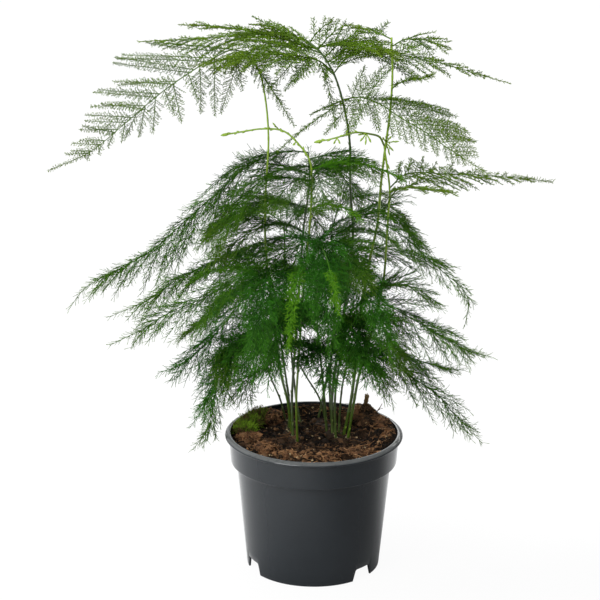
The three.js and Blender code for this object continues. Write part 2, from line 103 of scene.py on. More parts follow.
# %% [markdown]
# The studio. Soft boxes and a pale sky light the needles from all sides, so the shade deep in the plant
# comes from the plant itself. The sky is brighter to the left, and so is the plant. A low light behind
# brightens the floor there, and the pot's flanks mirror that floor as two pale edges. The camera sees the
# sky as plain white. A small helper adds each node together with its settings and what feeds it, since every
# finish below needs it.

# %% Studio
SKY_STRENGTH = (0.14, 1.0)
SKY_FADE = (-0.7, 0.9)
SKY_BRIGHT_SIDE = (-0.8, 0.1, 0.59)
SKY_COLOUR = (0.97, 0.985, 1.0, 1)
WHITE = (1, 1, 1, 1)
SOFT_BOXES = {
    # name: position, size across and down, power in watts, what it points at
    "key_box": ((-1.3, -1.5, 1.7), (1.2, 1.2), 38, (0, 0, 0.2)),
    "top_box": ((0.1, 0.25, 2.0), (1.4, 1.1), 22, (0, 0, 0.2)),
    "fill_box": ((1.6, -1.0, 0.9), (0.9, 1.2), 1, (0, 0, 0.2)),
    "back_box": ((0.5, 2.1, 1.1), (1.8, 0.7), 8, (0.2, 0.7, 0.0)),
}


def soft_box(name, place, size, watts, target):
    data = bpy.data.lights.new(name, "AREA")
    data.shape = "RECTANGLE"
    data.size, data.size_y = size
    data.energy = watts
    light = bpy.data.objects.new(name, data)
    light.location = place
    light.rotation_euler = (Vector(target) - Vector(place)).to_track_quat("-Z", "Y").to_euler()
    light.visible_camera = False
    bpy.context.collection.objects.link(light)


def add_node(tree, kind, inputs=None, **settings):
    """A new node. Each input is a plain value, or another node's output that is linked to it."""
    node = tree.nodes.new("ShaderNode" + kind)
    for setting, value in settings.items():
        setattr(node, setting, value)
    for socket, value in (inputs or {}).items():
        if isinstance(value, bpy.types.NodeSocket):
            tree.links.new(value, node.inputs[socket])
        else:
            node.inputs[socket].default_value = value
    return node


def smooth_range(tree, value, low, high, bottom=0.0, top=1.0):
    """Climbs smoothly from bottom to top while the value goes from low to high."""
    inputs = {"Value": value, "From Min": low, "From Max": high, "To Min": bottom, "To Max": top}
    return add_node(tree, "MapRange", inputs, interpolation_type="SMOOTHSTEP").outputs["Result"]


def product(tree, first, second):
    return add_node(tree, "Math", {0: first, 1: second}, operation="MULTIPLY").outputs[0]


def pale_sky():
    world = bpy.data.worlds.new("pale_sky")
    world.use_nodes = True
    bpy.context.scene.world = world
    tree = world.node_tree
    tree.nodes.clear()
    direction = add_node(tree, "TexCoord").outputs["Generated"]
    facing = add_node(tree, "VectorMath", {0: direction, 1: SKY_BRIGHT_SIDE}, operation="DOT_PRODUCT")
    strength = smooth_range(tree, facing.outputs["Value"], *SKY_FADE, *SKY_STRENGTH)
    lighting = add_node(tree, "Background", {"Color": SKY_COLOUR, "Strength": strength})
    backdrop = add_node(tree, "Background", {"Color": WHITE, "Strength": 1.0})
    seen = add_node(tree, "LightPath").outputs["Is Camera Ray"]
    mix = add_node(tree, "MixShader", {"Fac": seen, 1: lighting.outputs[0], 2: backdrop.outputs[0]})
    add_node(tree, "OutputWorld", {"Surface": mix.outputs[0]})


for box_name, box_values in SOFT_BOXES.items():
    soft_box(box_name, *box_values)
pale_sky()
bpy.context.scene.view_settings.view_transform = "Standard"
bpy.context.scene.view_settings.look = "None"
print("soft boxes", len(SOFT_BOXES))

# %% [markdown]
# A mesh helper. Needles, fibres and crumbs come by the ten thousand, so they are worked out as arrays of
# corner points and handed to Blender in one go. Two values ride on each corner: tint, which sets one sprig
# apart from the next, and along, which runs from the old foot of a piece to its young tip. The same pair is
# stored as a UV map, so that a colour that depends on them alone can also be drawn on a small picture.

# %% Mesh helper
BAKE_MAP = "OFBake"
CORNER_SPREAD = np.array([[-0.004, -0.002], [0.004, -0.002], [0.0, 0.004]])


def link_object(name, mesh):
    piece = bpy.data.objects.new(name, mesh)
    bpy.context.collection.objects.link(piece)
    return piece


def triangle_piece(name, points, triangles, tint=None, along=None, smooth=False):
    """A mesh object from millimetre points and triangles."""
    mesh = bpy.data.meshes.new(name)
    mesh.vertices.add(len(points))
    mesh.vertices.foreach_set("co", (np.asarray(points) * MM).astype(np.float32).ravel())
    mesh.loops.add(3 * len(triangles))
    mesh.loops.foreach_set("vertex_index", np.asarray(triangles, np.int32).ravel())
    mesh.polygons.add(len(triangles))
    mesh.polygons.foreach_set("loop_start", np.arange(0, 3 * len(triangles), 3, dtype=np.int32))
    mesh.update(calc_edges=True)
    if tint is not None:
        for value_name, values in (("tint", tint), ("along", along)):
            layer = mesh.attributes.new(value_name, "FLOAT", "POINT")
            layer.data.foreach_set("value", np.asarray(values, np.float32))
        pair = np.stack([np.asarray(tint)[triangles], np.asarray(along)[triangles]], -1)
        pair = np.clip(pair, 0.01, 0.99) + CORNER_SPREAD
        mesh.uv_layers.new(name=BAKE_MAP).data.foreach_set("uv", pair.astype(np.float32).ravel())
    mesh.polygons.foreach_set("use_smooth", np.full(len(triangles), smooth))
    return link_object(name, mesh)


class Growth:
    """Closed bits of one piece, gathered before they become one mesh."""

    def __init__(self):
        self.points = []
        self.triangles = []
        self.tint = []
        self.along = []
        self.count = 0

    def add(self, points, triangles, tint, along):
        self.points.append(points)
        self.triangles.append(triangles + self.count)
        self.tint.append(np.broadcast_to(tint, len(points)))
        self.along.append(np.broadcast_to(along, len(points)))
        self.count += len(points)

    def piece(self, name, smooth=False, toned=True):
        points, triangles = np.concatenate(self.points), np.concatenate(self.triangles)
        values = (np.concatenate(self.tint), np.concatenate(self.along)) if toned else (None, None)
        return triangle_piece(name, points, triangles, *values, smooth)


# %% [markdown]
# Two shapes make nearly all of the plant. A needle is a closed sliver of four faces, and a stem, a twig or a
# bud is a tube whose rings follow a path. A curve object with a bevel would also draw stems, but a tube made
# here carries the two values at each of its rings, and swells or tapers as the part does.

# %% Needles and tubes
def unit(vectors):
    vectors = np.asarray(vectors, float)
    return vectors / np.maximum(np.linalg.norm(vectors, axis=-1, keepdims=True), 1e-9)


def square_axes(direction):
    """Two directions at right angles to each given one."""
    helper = np.where(np.abs(direction[..., 2:3]) < 0.9, UP, np.array([1.0, 0.0, 0.0]))
    first = unit(np.cross(helper, direction))
    return first, np.cross(direction, first)


SLIVER_FACES = np.array([[0, 1, 2], [1, 0, 3], [2, 3, 0], [3, 2, 1]])
LEAF_TURN = 2.4


def slivers(growth, base, direction, length, width, tint, along):
    """Closed four-faced needles. The foot and the tip are short crossed edges, so each looks equally thin."""
    direction = unit(direction)
    count = len(base)
    length = np.broadcast_to(length, count)[:, None]
    half = np.broadcast_to(width, count)[:, None] / 2
    first, second = square_axes(direction)
    turn = (np.arange(count) * LEAF_TURN)[:, None]
    foot_edge = first * np.cos(turn) + second * np.sin(turn)
    tip_edge = np.cross(direction, foot_edge)
    tip = base + direction * length
    corners = [base + foot_edge * half, base - foot_edge * half, tip + tip_edge * half, tip - tip_edge * half]
    points = np.stack(corners, 1).reshape(-1, 3)
    triangles = (SLIVER_FACES[None] + 4 * np.arange(count)[:, None, None]).reshape(-1, 3)
    tint = np.repeat(np.broadcast_to(tint, count), 4)
    along = np.repeat(np.broadcast_to(along, count), 4)
    growth.add(points, triangles, tint, along)


def ring_triangles(rings, sectors):
    """Triangles of a closed body: all of its rings, and then a middle point for the first and the last."""
    here = np.arange(sectors)
    after = (here + 1) % sectors
    triangles = []
    for low in np.arange(rings - 1) * sectors:
        high = low + sectors
        triangles.append(np.stack([low + here, low + after, high + after], 1))
        triangles.append(np.stack([low + here, high + after, high + here], 1))
    last = (rings - 1) * sectors
    foot, head = rings * sectors, rings * sectors + 1
    triangles.append(np.stack([np.full(sectors, foot), after, here], 1))
    triangles.append(np.stack([np.full(sectors, head), last + here, last + after], 1))
    return np.concatenate(triangles)


def tube(growth, path, radii, sides, tint, along):
    """A closed round bar along a path, with both ends capped."""
    path = np.asarray(path, float)
    count = len(path)
    radii, tint, along = (np.broadcast_to(values, count) for values in (radii, tint, along))
    heading = unit(np.gradient(path, axis=0))
    first = square_axes(heading[:1])[0][0]
    turns = np.arange(sides) / sides * 2 * math.pi
    rows = []
    for i in range(count):
        first = unit(first - heading[i] * np.dot(first, heading[i]))
        second = np.cross(heading[i], first)
        rows.append(path[i] + radii[i] * (np.outer(np.cos(turns), first) + np.outer(np.sin(turns), second)))
    points = np.concatenate(rows + [path[:1], path[-1:]])
    tint, along = (np.append(np.repeat(values, sides), values[[0, -1]]) for values in (tint, along))
    growth.add(points, ring_triangles(count, sides), tint, along)


# %% [markdown]
# Curves. A stem is drawn as a few given points, with a smooth curve through them. The curve is the
# centripetal kind, which doesn't overshoot where the points lie close together, and it is cut into even
# steps.

# %% Curves
FINE_STEPS = 24


def smooth_path(points, step):
    """Evenly spaced points, about a step apart, on a smooth curve through given ones."""
    given = np.array(points, float)
    given = np.vstack([2 * given[0] - given[1], given, 2 * given[-1] - given[-2]])
    share = np.linspace(0, 1, FINE_STEPS, endpoint=False)[:, None]
    rows = []
    for a, b, c, d in zip(given, given[1:], given[2:], given[3:]):
        before, here, after = (math.sqrt(np.linalg.norm(v - u)) for u, v in ((a, b), (b, c), (c, d)))
        leave = ((b - a) / before - (c - a) / (before + here) + (c - b) / here) * here
        arrive = ((c - b) / here - (d - b) / (here + after) + (d - c) / after) * here
        bend = 2 * b - 2 * c + leave + arrive
        turn = 3 * c - 3 * b - 2 * leave - arrive
        rows.append(b + leave * share + turn * share**2 + bend * share**3)
    fine = np.vstack(rows + [given[-2:-1]])
    arc = arc_lengths(fine)
    count = max(3, int(round(arc[-1] / step)) + 1)
    return at_arc(fine, arc, np.linspace(0, arc[-1], count))


def arc_lengths(path):
    return np.concatenate([[0], np.cumsum(np.linalg.norm(np.diff(path, axis=0), axis=1))])


def at_arc(path, arc, where):
    return np.stack([np.interp(where, arc, path[:, k]) for k in range(3)], -1)


# %% [markdown]
# Shader groups. Several finishes here share three effects: a colour that wanders between two tones, fine
# grain that lifts the surface, and the way a sprig's colour follows its age. Each is built once as a node
# group with named sockets and set to its own values in every material.

# %% Shader groups
def new_group(name, inputs, outputs):
    group = bpy.data.node_groups.new(name, "ShaderNodeTree")
    for socket_name, kind, value in inputs:
        socket = group.interface.new_socket(socket_name, in_out="INPUT", socket_type=kind)
        socket.default_value = value
    for socket_name, kind in outputs:
        group.interface.new_socket(socket_name, in_out="OUTPUT", socket_type=kind)
    source = group.nodes.new("NodeGroupInput")
    sink = group.nodes.new("NodeGroupOutput")
    return group, source, sink


def mix_colours(tree, factor, first, second):
    return add_node(tree, "Mix", {0: factor, 6: first, 7: second}, data_type="RGBA").outputs[2]


def wandering_tone():
    """Out of two colours, one that drifts between them in patches with finer mottling on top."""
    group, source, sink = new_group(
        "wandering_tone",
        [
            ("Dark", "NodeSocketColor", (0.1, 0.1, 0.1, 1)),
            ("Light", "NodeSocketColor", (0.5, 0.5, 0.5, 1)),
            ("Scale", "NodeSocketFloat", 60.0),
            ("Low", "NodeSocketFloat", 0.35),
            ("High", "NodeSocketFloat", 0.65),
        ],
        [("Color", "NodeSocketColor"), ("Mask", "NodeSocketFloat")],
    )
    given = source.outputs
    place = add_node(group, "TexCoord").outputs["Object"]
    patches = {"Vector": place, "Scale": given["Scale"], "Detail": 5.0, "Roughness": 0.62}
    cloud = add_node(group, "TexNoise", patches).outputs["Fac"]
    mask = smooth_range(group, cloud, given["Low"], given["High"])
    group.links.new(mix_colours(group, mask, given["Dark"], given["Light"]), sink.inputs["Color"])
    group.links.new(mask, sink.inputs["Mask"])
    return group


COARSE_SCALE = 0.14


def surface_grain():
    """Height of a fine rough grain, for a bump."""
    group, source, sink = new_group(
        "surface_grain",
        [("Scale", "NodeSocketFloat", 800.0), ("Coarse", "NodeSocketFloat", 0.3)],
        [("Height", "NodeSocketFloat")],
    )
    given = source.outputs
    place = add_node(group, "TexCoord").outputs["Object"]
    larger = product(group, given["Scale"], COARSE_SCALE)
    fine = add_node(group, "TexNoise", {"Vector": place, "Scale": given["Scale"], "Detail": 3.0})
    coarse = add_node(group, "TexNoise", {"Vector": place, "Scale": larger, "Detail": 2.0})
    both = add_node(group, "Mix", {0: given["Coarse"], 2: fine.outputs["Fac"], 3: coarse.outputs["Fac"]})
    group.links.new(both.outputs[0], sink.inputs["Height"])
    return group


YOUNG_PART = (0.35, 1.0)


def age_tone():
    """A sprig's colour: tint picks between its deep and its fresh tone, and the young tip is paler."""
    group, source, sink = new_group(
        "age_tone",
        [
            ("Deep", "NodeSocketColor", (0.02, 0.08, 0.01, 1)),
            ("Fresh", "NodeSocketColor", (0.1, 0.25, 0.03, 1)),
            ("Tip", "NodeSocketColor", (0.2, 0.35, 0.06, 1)),
            ("Tip Share", "NodeSocketFloat", 0.5),
        ],
        [("Color", "NodeSocketColor"), ("Age", "NodeSocketFloat")],
    )
    given = source.outputs
    tint = add_node(group, "Attribute", attribute_name="tint").outputs["Fac"]
    along = add_node(group, "Attribute", attribute_name="along").outputs["Fac"]
    young = product(group, smooth_range(group, along, *YOUNG_PART), given["Tip Share"])
    sprig = mix_colours(group, tint, given["Deep"], given["Fresh"])
    group.links.new(mix_colours(group, young, sprig, given["Tip"]), sink.inputs["Color"])
    group.links.new(along, sink.inputs["Age"])
    return group


GROUPS = {"tone": wandering_tone(), "grain": surface_grain(), "age": age_tone()}
print("shader groups", sorted(group.name for group in GROUPS.values()))

# %% [markdown]
# A finish is one Principled shader. The helper below makes it with its fixed numbers on the shader's own
# sockets, and places the groups and the few nodes that feed it.

# %% Finish helper
class Finish:
    def __init__(self, name, **fixed):
        self.material = bpy.data.materials.new(name)
        self.material.use_nodes = True
        self.tree = self.material.node_tree
        self.shader = self.tree.nodes["Principled BSDF"]
        for socket_name, value in fixed.items():
            self.shader.inputs[socket_name.replace("_", " ")].default_value = value

    def node(self, kind, inputs=None, **settings):
        return add_node(self.tree, kind, inputs, **settings)

    def group(self, key, **values):
        node = self.node("Group", node_tree=GROUPS[key])
        for socket_name, value in values.items():
            colour = (*value, 1) if isinstance(value, tuple) else value
            node.inputs[socket_name.replace("_", " ")].default_value = colour
        return node

    def feed(self, socket_name, output):
        self.tree.links.new(output, self.shader.inputs[socket_name])

    def spread(self, socket_name, mask, low, high):
        """Feeds a mask to a number socket, stretched between two values."""
        stretch = self.node("MapRange", {"Value": mask, "To Min": low, "To Max": high})
        self.feed(socket_name, stretch.outputs["Result"])

    def bump(self, grain, strength, distance):
        inputs = {"Height": grain.outputs["Height"], "Strength": strength, "Distance": distance}
        self.feed("Normal", self.node("Bump", inputs).outputs["Normal"])

    def age_colour(self, deep, fresh, tip, tip_share):
        """Colours the surface by its tint and its age, and hands back the age."""
        tone = self.group("age", Deep=deep, Fresh=fresh, Tip=tip, Tip_Share=tip_share)
        self.feed("Base Color", tone.outputs["Color"])
        return tone.outputs["Age"]


def settle(piece, finish, slot, *nodes):
    """Gives a piece its finish and the body it stands on, and hides the nodes that it replaces. The slot is
    not used.
    """
    piece.data.materials.append(finish.material)
    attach(piece, "root")
    if nodes:
        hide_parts(*nodes)


# %% [markdown]
# The floor: a wide pale sheet. It isn't part of the plant, so it is staged. It must be just white and no
# brighter: a needle covers a third of a pixel, and in front of an overexposed sheet it would wash out. So
# the camera sees the sheet mixed with an even white, which also keeps its shadow faint. The paper ahead of
# the pot and to its right carries a painted shade, a darker grey that stands in for a shadow there, and the
# glossy pot mirrors it, so the pot's right half reads darker.

# %% Floor
HALF_FLOOR = 6.0
EVEN_WHITE = 0.93
WHITE_STRENGTH = 1.02
# A painted shade: the paper ahead of the pot and to its right is mixed towards this darker grey, which stands
# in for a shadow.
PAINTED_SHADE_PAPER = (0.3, 0.3, 0.3, 1)
PAINTED_SHADE_RIGHT = (-0.1, 0.12)
PAINTED_SHADE_AHEAD = (0.12, -0.02)


def paper_finish():
    finish = Finish("pale_paper", Roughness=0.9)
    tree = finish.tree
    tone = finish.group("tone", Dark=(0.83, 0.83, 0.83), Light=(0.86, 0.86, 0.86), Scale=2.0)
    place = finish.node("SeparateXYZ", {0: finish.node("NewGeometry").outputs["Position"]}).outputs
    right = smooth_range(tree, place["X"], *PAINTED_SHADE_RIGHT)
    shade_ahead = smooth_range(tree, place["Y"], *PAINTED_SHADE_AHEAD)
    # The mask of the painted shade, ahead of the pot and to its right.
    painted_shade_mask = product(tree, right, shade_ahead)
    finish.feed("Base Color", mix_colours(tree, painted_shade_mask, tone.outputs["Color"], PAINTED_SHADE_PAPER))
    even = finish.node("Emission", {"Strength": WHITE_STRENGTH}).outputs[0]
    share = product(tree, finish.node("LightPath").outputs["Is Camera Ray"], EVEN_WHITE)
    seen = finish.node("MixShader", {"Fac": share, 1: finish.shader.outputs[0], 2: even}).outputs[0]
    tree.links.new(seen, tree.nodes["Material Output"].inputs["Surface"])
    return finish


def studio_floor():
    mesh = bpy.data.meshes.new("studio_floor")
    corners = [(x * HALF_FLOOR, y * HALF_FLOOR, 0) for x, y in ((-1, -1), (1, -1), (1, 1), (-1, 1))]
    mesh.from_pydata(corners, [], [(0, 1, 2, 3)])
    mesh.materials.append(paper_finish().material)
    floor = link_object("studio_floor", mesh)
    floor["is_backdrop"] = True


studio_floor()
print("floor half width", HALF_FLOOR)

# %% [markdown]
# The nursery pot is one thin moulding: a tapered body on a skirt, a collar wide enough to grip, and a rolled
# lip. A turned profile gives all of it. The skirt's notches are made by lifting the lowest rows of the
# profile along the notch's outline, which leaves clean faces and no cut edges to shade badly.

# %% Pot profile
POT_HEIGHT = 94.4
RIM_RADIUS = 60.0
FOOT_RADIUS = 44.9
BODY_TOP_RADIUS = 52.1
COLLAR_BOTTOM = 74.6
COLLAR_BOTTOM_RADIUS = 56.0
SHOULDER_DROP = 1.2
LIP_OVERHANG = 2.6
WALL = 1.2
FLOOR_UNDERSIDE = 9.0
NOTCH_ANGLES = (48, 173, 296)
NOTCH_HEIGHT = 8.0
NOTCH_HALF_FOOT = 9.0
NOTCH_HALF_TOP = 7.0
NOTCH_CORNER = 2.0


def round_corner(before, corner, after, radius, steps=5):
    """Points of an arc that rounds a corner of a profile."""
    before, corner, after = (np.array(p, float) for p in (before, corner, after))
    start = corner + unit(before - corner) * radius
    end = corner + unit(after - corner) * radius
    share = np.linspace(0, 1, steps)[:, None]
    return list((1 - share) ** 2 * start + 2 * share * (1 - share) * corner + share**2 * end)


def outer_wall():
    """Radius and height of the outside, from the foot to the inside of the lip."""
    slope = (BODY_TOP_RADIUS - FOOT_RADIUS) / (COLLAR_BOTTOM - SHOULDER_DROP)
    lip_foot = (RIM_RADIUS - LIP_OVERHANG, POT_HEIGHT - 3.3)
    shoulder = (BODY_TOP_RADIUS, COLLAR_BOTTOM - SHOULDER_DROP)
    collar = (COLLAR_BOTTOM_RADIUS, COLLAR_BOTTOM - 0.3)
    rows = [(FOOT_RADIUS - 0.25, 0.0), (FOOT_RADIUS + 0.05, 0.3)]
    rows += [(FOOT_RADIUS + slope * z, z) for z in np.linspace(9, 68, 14)]
    rows += round_corner(rows[-1], shoulder, collar, 0.5)
    rows += round_corner(shoulder, collar, lip_foot, 0.7)
    rows += [tuple(np.array(collar) + (np.array(lip_foot) - collar) * t) for t in (0.15, 0.4, 0.65, 0.88)]
    rows += round_corner(rows[-1], lip_foot, (RIM_RADIUS, lip_foot[1] + 0.4), 0.4)
    lip = [(-0.7, -3.0), (-0.15, -2.6), (0.0, -2.1), (-0.15, -1.6), (-0.8, -1.0), (-1.8, -0.4), (-2.8, 0.0)]
    rows += [(RIM_RADIUS + out, POT_HEIGHT + up) for out, up in lip + [(-3.5, -0.1), (-3.8, -0.5)]]
    return rows


def inner_radius(z):
    """The inside of the wall at a height above the pot's floor."""
    inside = COLLAR_BOTTOM + WALL
    shoulder = inside - SHOULDER_DROP
    heights = [0, shoulder, inside, POT_HEIGHT]
    radii = [FOOT_RADIUS, BODY_TOP_RADIUS, COLLAR_BOTTOM_RADIUS, RIM_RADIUS - LIP_OVERHANG]
    return np.interp(z, heights, radii) - WALL


def inner_wall():
    floor_top = FLOOR_UNDERSIDE + WALL
    heights = [POT_HEIGHT - 1.2, 90, 86, 82, 78, COLLAR_BOTTOM + WALL, COLLAR_BOTTOM + WALL - SHOULDER_DROP]
    rows = [(inner_radius(z), z) for z in heights + [60, 40, 20, floor_top + 1.5]]
    return rows + round_corner(rows[-1], (inner_radius(floor_top), floor_top), (0, floor_top), 1.2)


def skirt_inside():
    heights = (FLOOR_UNDERSIDE, NOTCH_HEIGHT + 0.6, 0.3)
    rows = [(float(inner_radius(z)), z) for z in heights]
    return rows + [(float(inner_radius(0)) + 0.3, 0.0)]


print("pot profile rows", len(outer_wall()) + len(inner_wall()) + len(skirt_inside()))

# %% [markdown]
# The notch outline: straight sides that lean in, and rounded top corners. It is a height for each place
# along the skirt, so more turning steps are spent where the outline is steep.

# %% Pot mesh
def notch_lift(angle):
    """How high the skirt's lower edge is lifted at an angle from the front, towards the right."""
    lift = 0.0
    for centre in NOTCH_ANGLES:
        apart = abs((angle - centre + 180) % 360 - 180)
        off = math.radians(apart) * FOOT_RADIUS
        if off <= NOTCH_HALF_TOP - NOTCH_CORNER:
            lift = NOTCH_HEIGHT
        elif off <= NOTCH_HALF_TOP:
            across = (off - NOTCH_HALF_TOP + NOTCH_CORNER) / NOTCH_CORNER
            lift = NOTCH_HEIGHT - NOTCH_CORNER * (1 - math.sqrt(max(0.0, 1 - across**2)))
        elif off < NOTCH_HALF_FOOT:
            down = (NOTCH_HALF_FOOT - off) / (NOTCH_HALF_FOOT - NOTCH_HALF_TOP)
            lift = (NOTCH_HEIGHT - NOTCH_CORNER) * down
    return lift


def turning_angles():
    even = np.arange(0, 360, 2.5)
    edges = []
    for centre in NOTCH_ANGLES:
        for off in np.linspace(NOTCH_HALF_TOP - NOTCH_CORNER, NOTCH_HALF_FOOT, 12):
            half = math.degrees(off / FOOT_RADIUS)
            edges += [centre - half, centre + half]
    edges = np.array(edges) % 360
    keep = [a for a in even if np.abs((edges - a + 180) % 360 - 180).min() > 0.4]
    return np.sort(np.concatenate([keep, edges]))


def lifted(z, lift):
    """A height in the skirt after its lower edge has been lifted, with the wall above left alone."""
    reach = FLOOR_UNDERSIDE - 0.2
    return z if z >= reach else lift + z * (reach - lift) / reach


def nursery_pot():
    profile = skirt_inside() + outer_wall() + inner_wall()
    angles = turning_angles()
    lifts = [notch_lift(a) for a in angles]
    points = []
    for angle, lift in zip(np.radians(angles), lifts):
        points += [(r * math.sin(angle), -r * math.cos(angle), lifted(z, lift)) for r, z in profile]
    rows = len(profile)
    under = len(points)
    points += [(0, 0, FLOOR_UNDERSIDE), (0, 0, FLOOR_UNDERSIDE + WALL)]
    faces = []
    for i in range(len(angles)):
        here, after = i * rows, (i + 1) % len(angles) * rows
        faces += [(here + k, after + k, after + k + 1, here + k + 1) for k in range(rows - 1)]
        faces.append((under, after, here))
        faces.append((under + 1, here + rows - 1, after + rows - 1))
    mesh = bpy.data.meshes.new("nursery_pot_moulding")
    mesh.from_pydata([tuple(v * MM for v in p) for p in points], [], faces)
    return link_object("nursery_pot_moulding", mesh)


pot = nursery_pot()
print("pot points", len(pot.data.vertices))

# %% [markdown]
# The drain holes. They could be built into the floor's faces as well, but a boolean modifier with six short
# rods is simpler, since nothing bends there. It is applied at once, so that the finished model holds plain
# faces. Edges sharper than a limit are then marked, and all the others are shaded smooth.

# %% Drain holes
DRAIN_COUNT = 6
DRAIN_RADIUS = 3.5
DRAIN_RING = 29.0
DRAIN_SIDES = 32
SHARP_ANGLE = math.radians(38)


def drain_cutter():
    growth = Growth()
    for i in range(DRAIN_COUNT):
        turn = (i + 0.5) / DRAIN_COUNT * 2 * math.pi
        x, y = DRAIN_RING * math.cos(turn), DRAIN_RING * math.sin(turn)
        path = [(x, y, FLOOR_UNDERSIDE - 2), (x, y, FLOOR_UNDERSIDE + WALL + 2)]
        tube(growth, path, DRAIN_RADIUS, DRAIN_SIDES, 0, 0)
    return growth.piece("drain_cutter", toned=False)


def apply_modifiers(piece):
    graph = bpy.context.evaluated_depsgraph_get()
    mesh = bpy.data.meshes.new_from_object(piece.evaluated_get(graph))
    piece.modifiers.clear()
    piece.data = mesh


cutter = drain_cutter()
cut = pot.modifiers.new("drain_holes", "BOOLEAN")
cut.operation = "DIFFERENCE"
cut.solver = "EXACT"
cut.object = cutter
apply_modifiers(pot)
bpy.data.objects.remove(cutter)
pot.data.shade_smooth()
pot.data.set_sharp_from_angle(angle=SHARP_ANGLE)
print("pot faces", len(pot.data.polygons))

# %% [markdown]
# Recycled polypropylene, near black and slightly blue, moulded with a satin face. The colour barely changes,
# and most of what the eye reads is gloss: a fine orange-peel grain, patches that are more polished, and a
# pale film on what faces up, which is partly dust and partly a painted highlight of the lip's lit top. The
# film is a mask of patches times how far a face tilts towards the sky.

# %% Pot finish
# The pale film on faces that look up is partly dust and partly a painted highlight of the lit top of the lip.
DUST_AND_HIGHLIGHT_COLOUR = (0.15, 0.155, 0.155, 1)
DUST_AND_HIGHLIGHT_SHARE = 0.9
DUST_AND_HIGHLIGHT_TILT = (0.4, 0.85)


def pot_finish():
    finish = Finish("satin_polypropylene", Specular_IOR_Level=0.38)
    dark, light = (0.011, 0.0145, 0.018), (0.013, 0.017, 0.021)
    tone = finish.group("tone", Dark=dark, Light=light, Scale=30.0, Low=0.3, High=0.7)
    dust_and_highlight_patches = finish.group("tone", Dark=(0, 0, 0), Light=(1, 1, 1), Scale=420.0, Low=0.05, High=0.5)
    facing = finish.node("SeparateXYZ", {0: finish.node("NewGeometry").outputs["Normal"]})
    tilt = {"Value": facing.outputs["Z"], "From Min": DUST_AND_HIGHLIGHT_TILT[0], "From Max": DUST_AND_HIGHLIGHT_TILT[1]}
    upward_dust_and_highlight = finish.node("MapRange", tilt).outputs["Result"]
    dust_and_highlight_film = product(finish.tree, product(finish.tree, upward_dust_and_highlight, dust_and_highlight_patches.outputs["Mask"]), DUST_AND_HIGHLIGHT_SHARE)
    finish.feed("Base Color", mix_colours(finish.tree, dust_and_highlight_film, tone.outputs["Color"], DUST_AND_HIGHLIGHT_COLOUR))
    finish.spread("Roughness", tone.outputs["Mask"], 0.06, 0.08)
    finish.bump(finish.group("grain", Scale=900.0, Coarse=0.55), 0.03, 0.0002)
    return finish


settle(pot, pot_finish(), "pot", "nursery_pot")

# %% [markdown]
# Stems. Each is a wiry shoot that leaves the crown bare and only branches high up. The points are listed
# along the real plant's stems and are the same ones that the construction model sweeps its rods along, so
# the fine stems lie inside those rods. The first number is the radius at the foot.

# %% Stem routes
STEMS = {
    # name: radius in mm, finish, points in mm from the soil up
    "upper_left": (0.95, "light", [(-15, 12, 87), (-18, 5, 115), (-22, 4, 132), (-29, 4, 186), (-33, 2, 228),
        (-33, 0, 256), (-31, 0, 297), (-33, 2, 323), (-37, 4, 341), (-43, 6, 351)]),
    "tall_dark": (1.1, "dark", [(13, 9, 87), (12, 11, 112), (14, 14, 133), (19, 16, 168), (23, 17, 203),
        (25, 18, 227), (23, 18, 258), (22, 18, 292), (17, 18, 319), (11, 18, 337), (2, 20, 351),
        (-6, 24, 357)]),
    "right_tall": (1.1, "light", [(20, 8, 87), (25, 8, 114), (27, 8, 132), (31, 8, 178), (36, 8, 212),
        (41, 8, 239), (43, 8, 268), (45, 8, 288), (48, 8, 315), (49, 8, 338), (48, 8, 363)]),
    "right_light": (1.0, "light", [(23, 3, 87), (27, 2, 116), (30, 0, 135), (39, -3, 171), (45, -5, 203),
        (47, -6, 241), (48, -6, 265), (46, -4, 281), (44, -2, 294)]),
    "crest_left": (0.9, "dark", [(-14, 4, 87), (-15, 6, 114), (-14, 8, 135), (-11, 12, 183), (-8, 16, 231),
        (-4, 18, 265), (-5, 20, 283)]),
    "mid_left": (0.85, "dark", [(-17, 21, 87), (-17, 20, 109), (-19, 20, 124), (-23, 22, 152),
        (-26, 24, 179), (-30, 26, 196)]),
    "low_left": (0.7, "dark", [(-19, 36, 87), (-23, 34, 104), (-29, 33, 119), (-36, 32, 137),
        (-42, 32, 152)]),
    "slanting": (0.7, "dark", [(9, 25, 87), (4, 22, 109), (-6, 18, 128), (-15, 14, 147), (-23, 11, 164)]),
    "mid_centre": (0.9, "dark", [(9, 15, 87), (7, 15, 112), (5, 12, 134), (2, 8, 164), (1, 4, 200),
        (-2, 0, 229)]),
    "right_arch": (0.9, "dark", [(13, 17, 87), (11, 21, 109), (11, 24, 130), (13, 26, 158), (13, 28, 200),
        (10, 30, 230)]),
    "right_low": (0.9, "dark", [(15, 3, 87), (14, 2, 116), (16, 0, 138), (20, -4, 164), (24, -8, 183)]),
    "right_lowest": (0.8, "dark", [(17, 11, 87), (18, 11, 113), (21, 11, 134), (26, 12, 148),
        (32, 13, 157)]),
    "back_left": (0.8, "dark", [(-9, 32, 87), (-12, 38, 102), (-17, 44, 151), (-20, 50, 192),
        (-21, 56, 223)]),
    "back_right": (0.8, "dark", [(3, 40, 87), (6, 42, 101), (15, 48, 150), (21, 54, 191), (24, 60, 224)]),
}
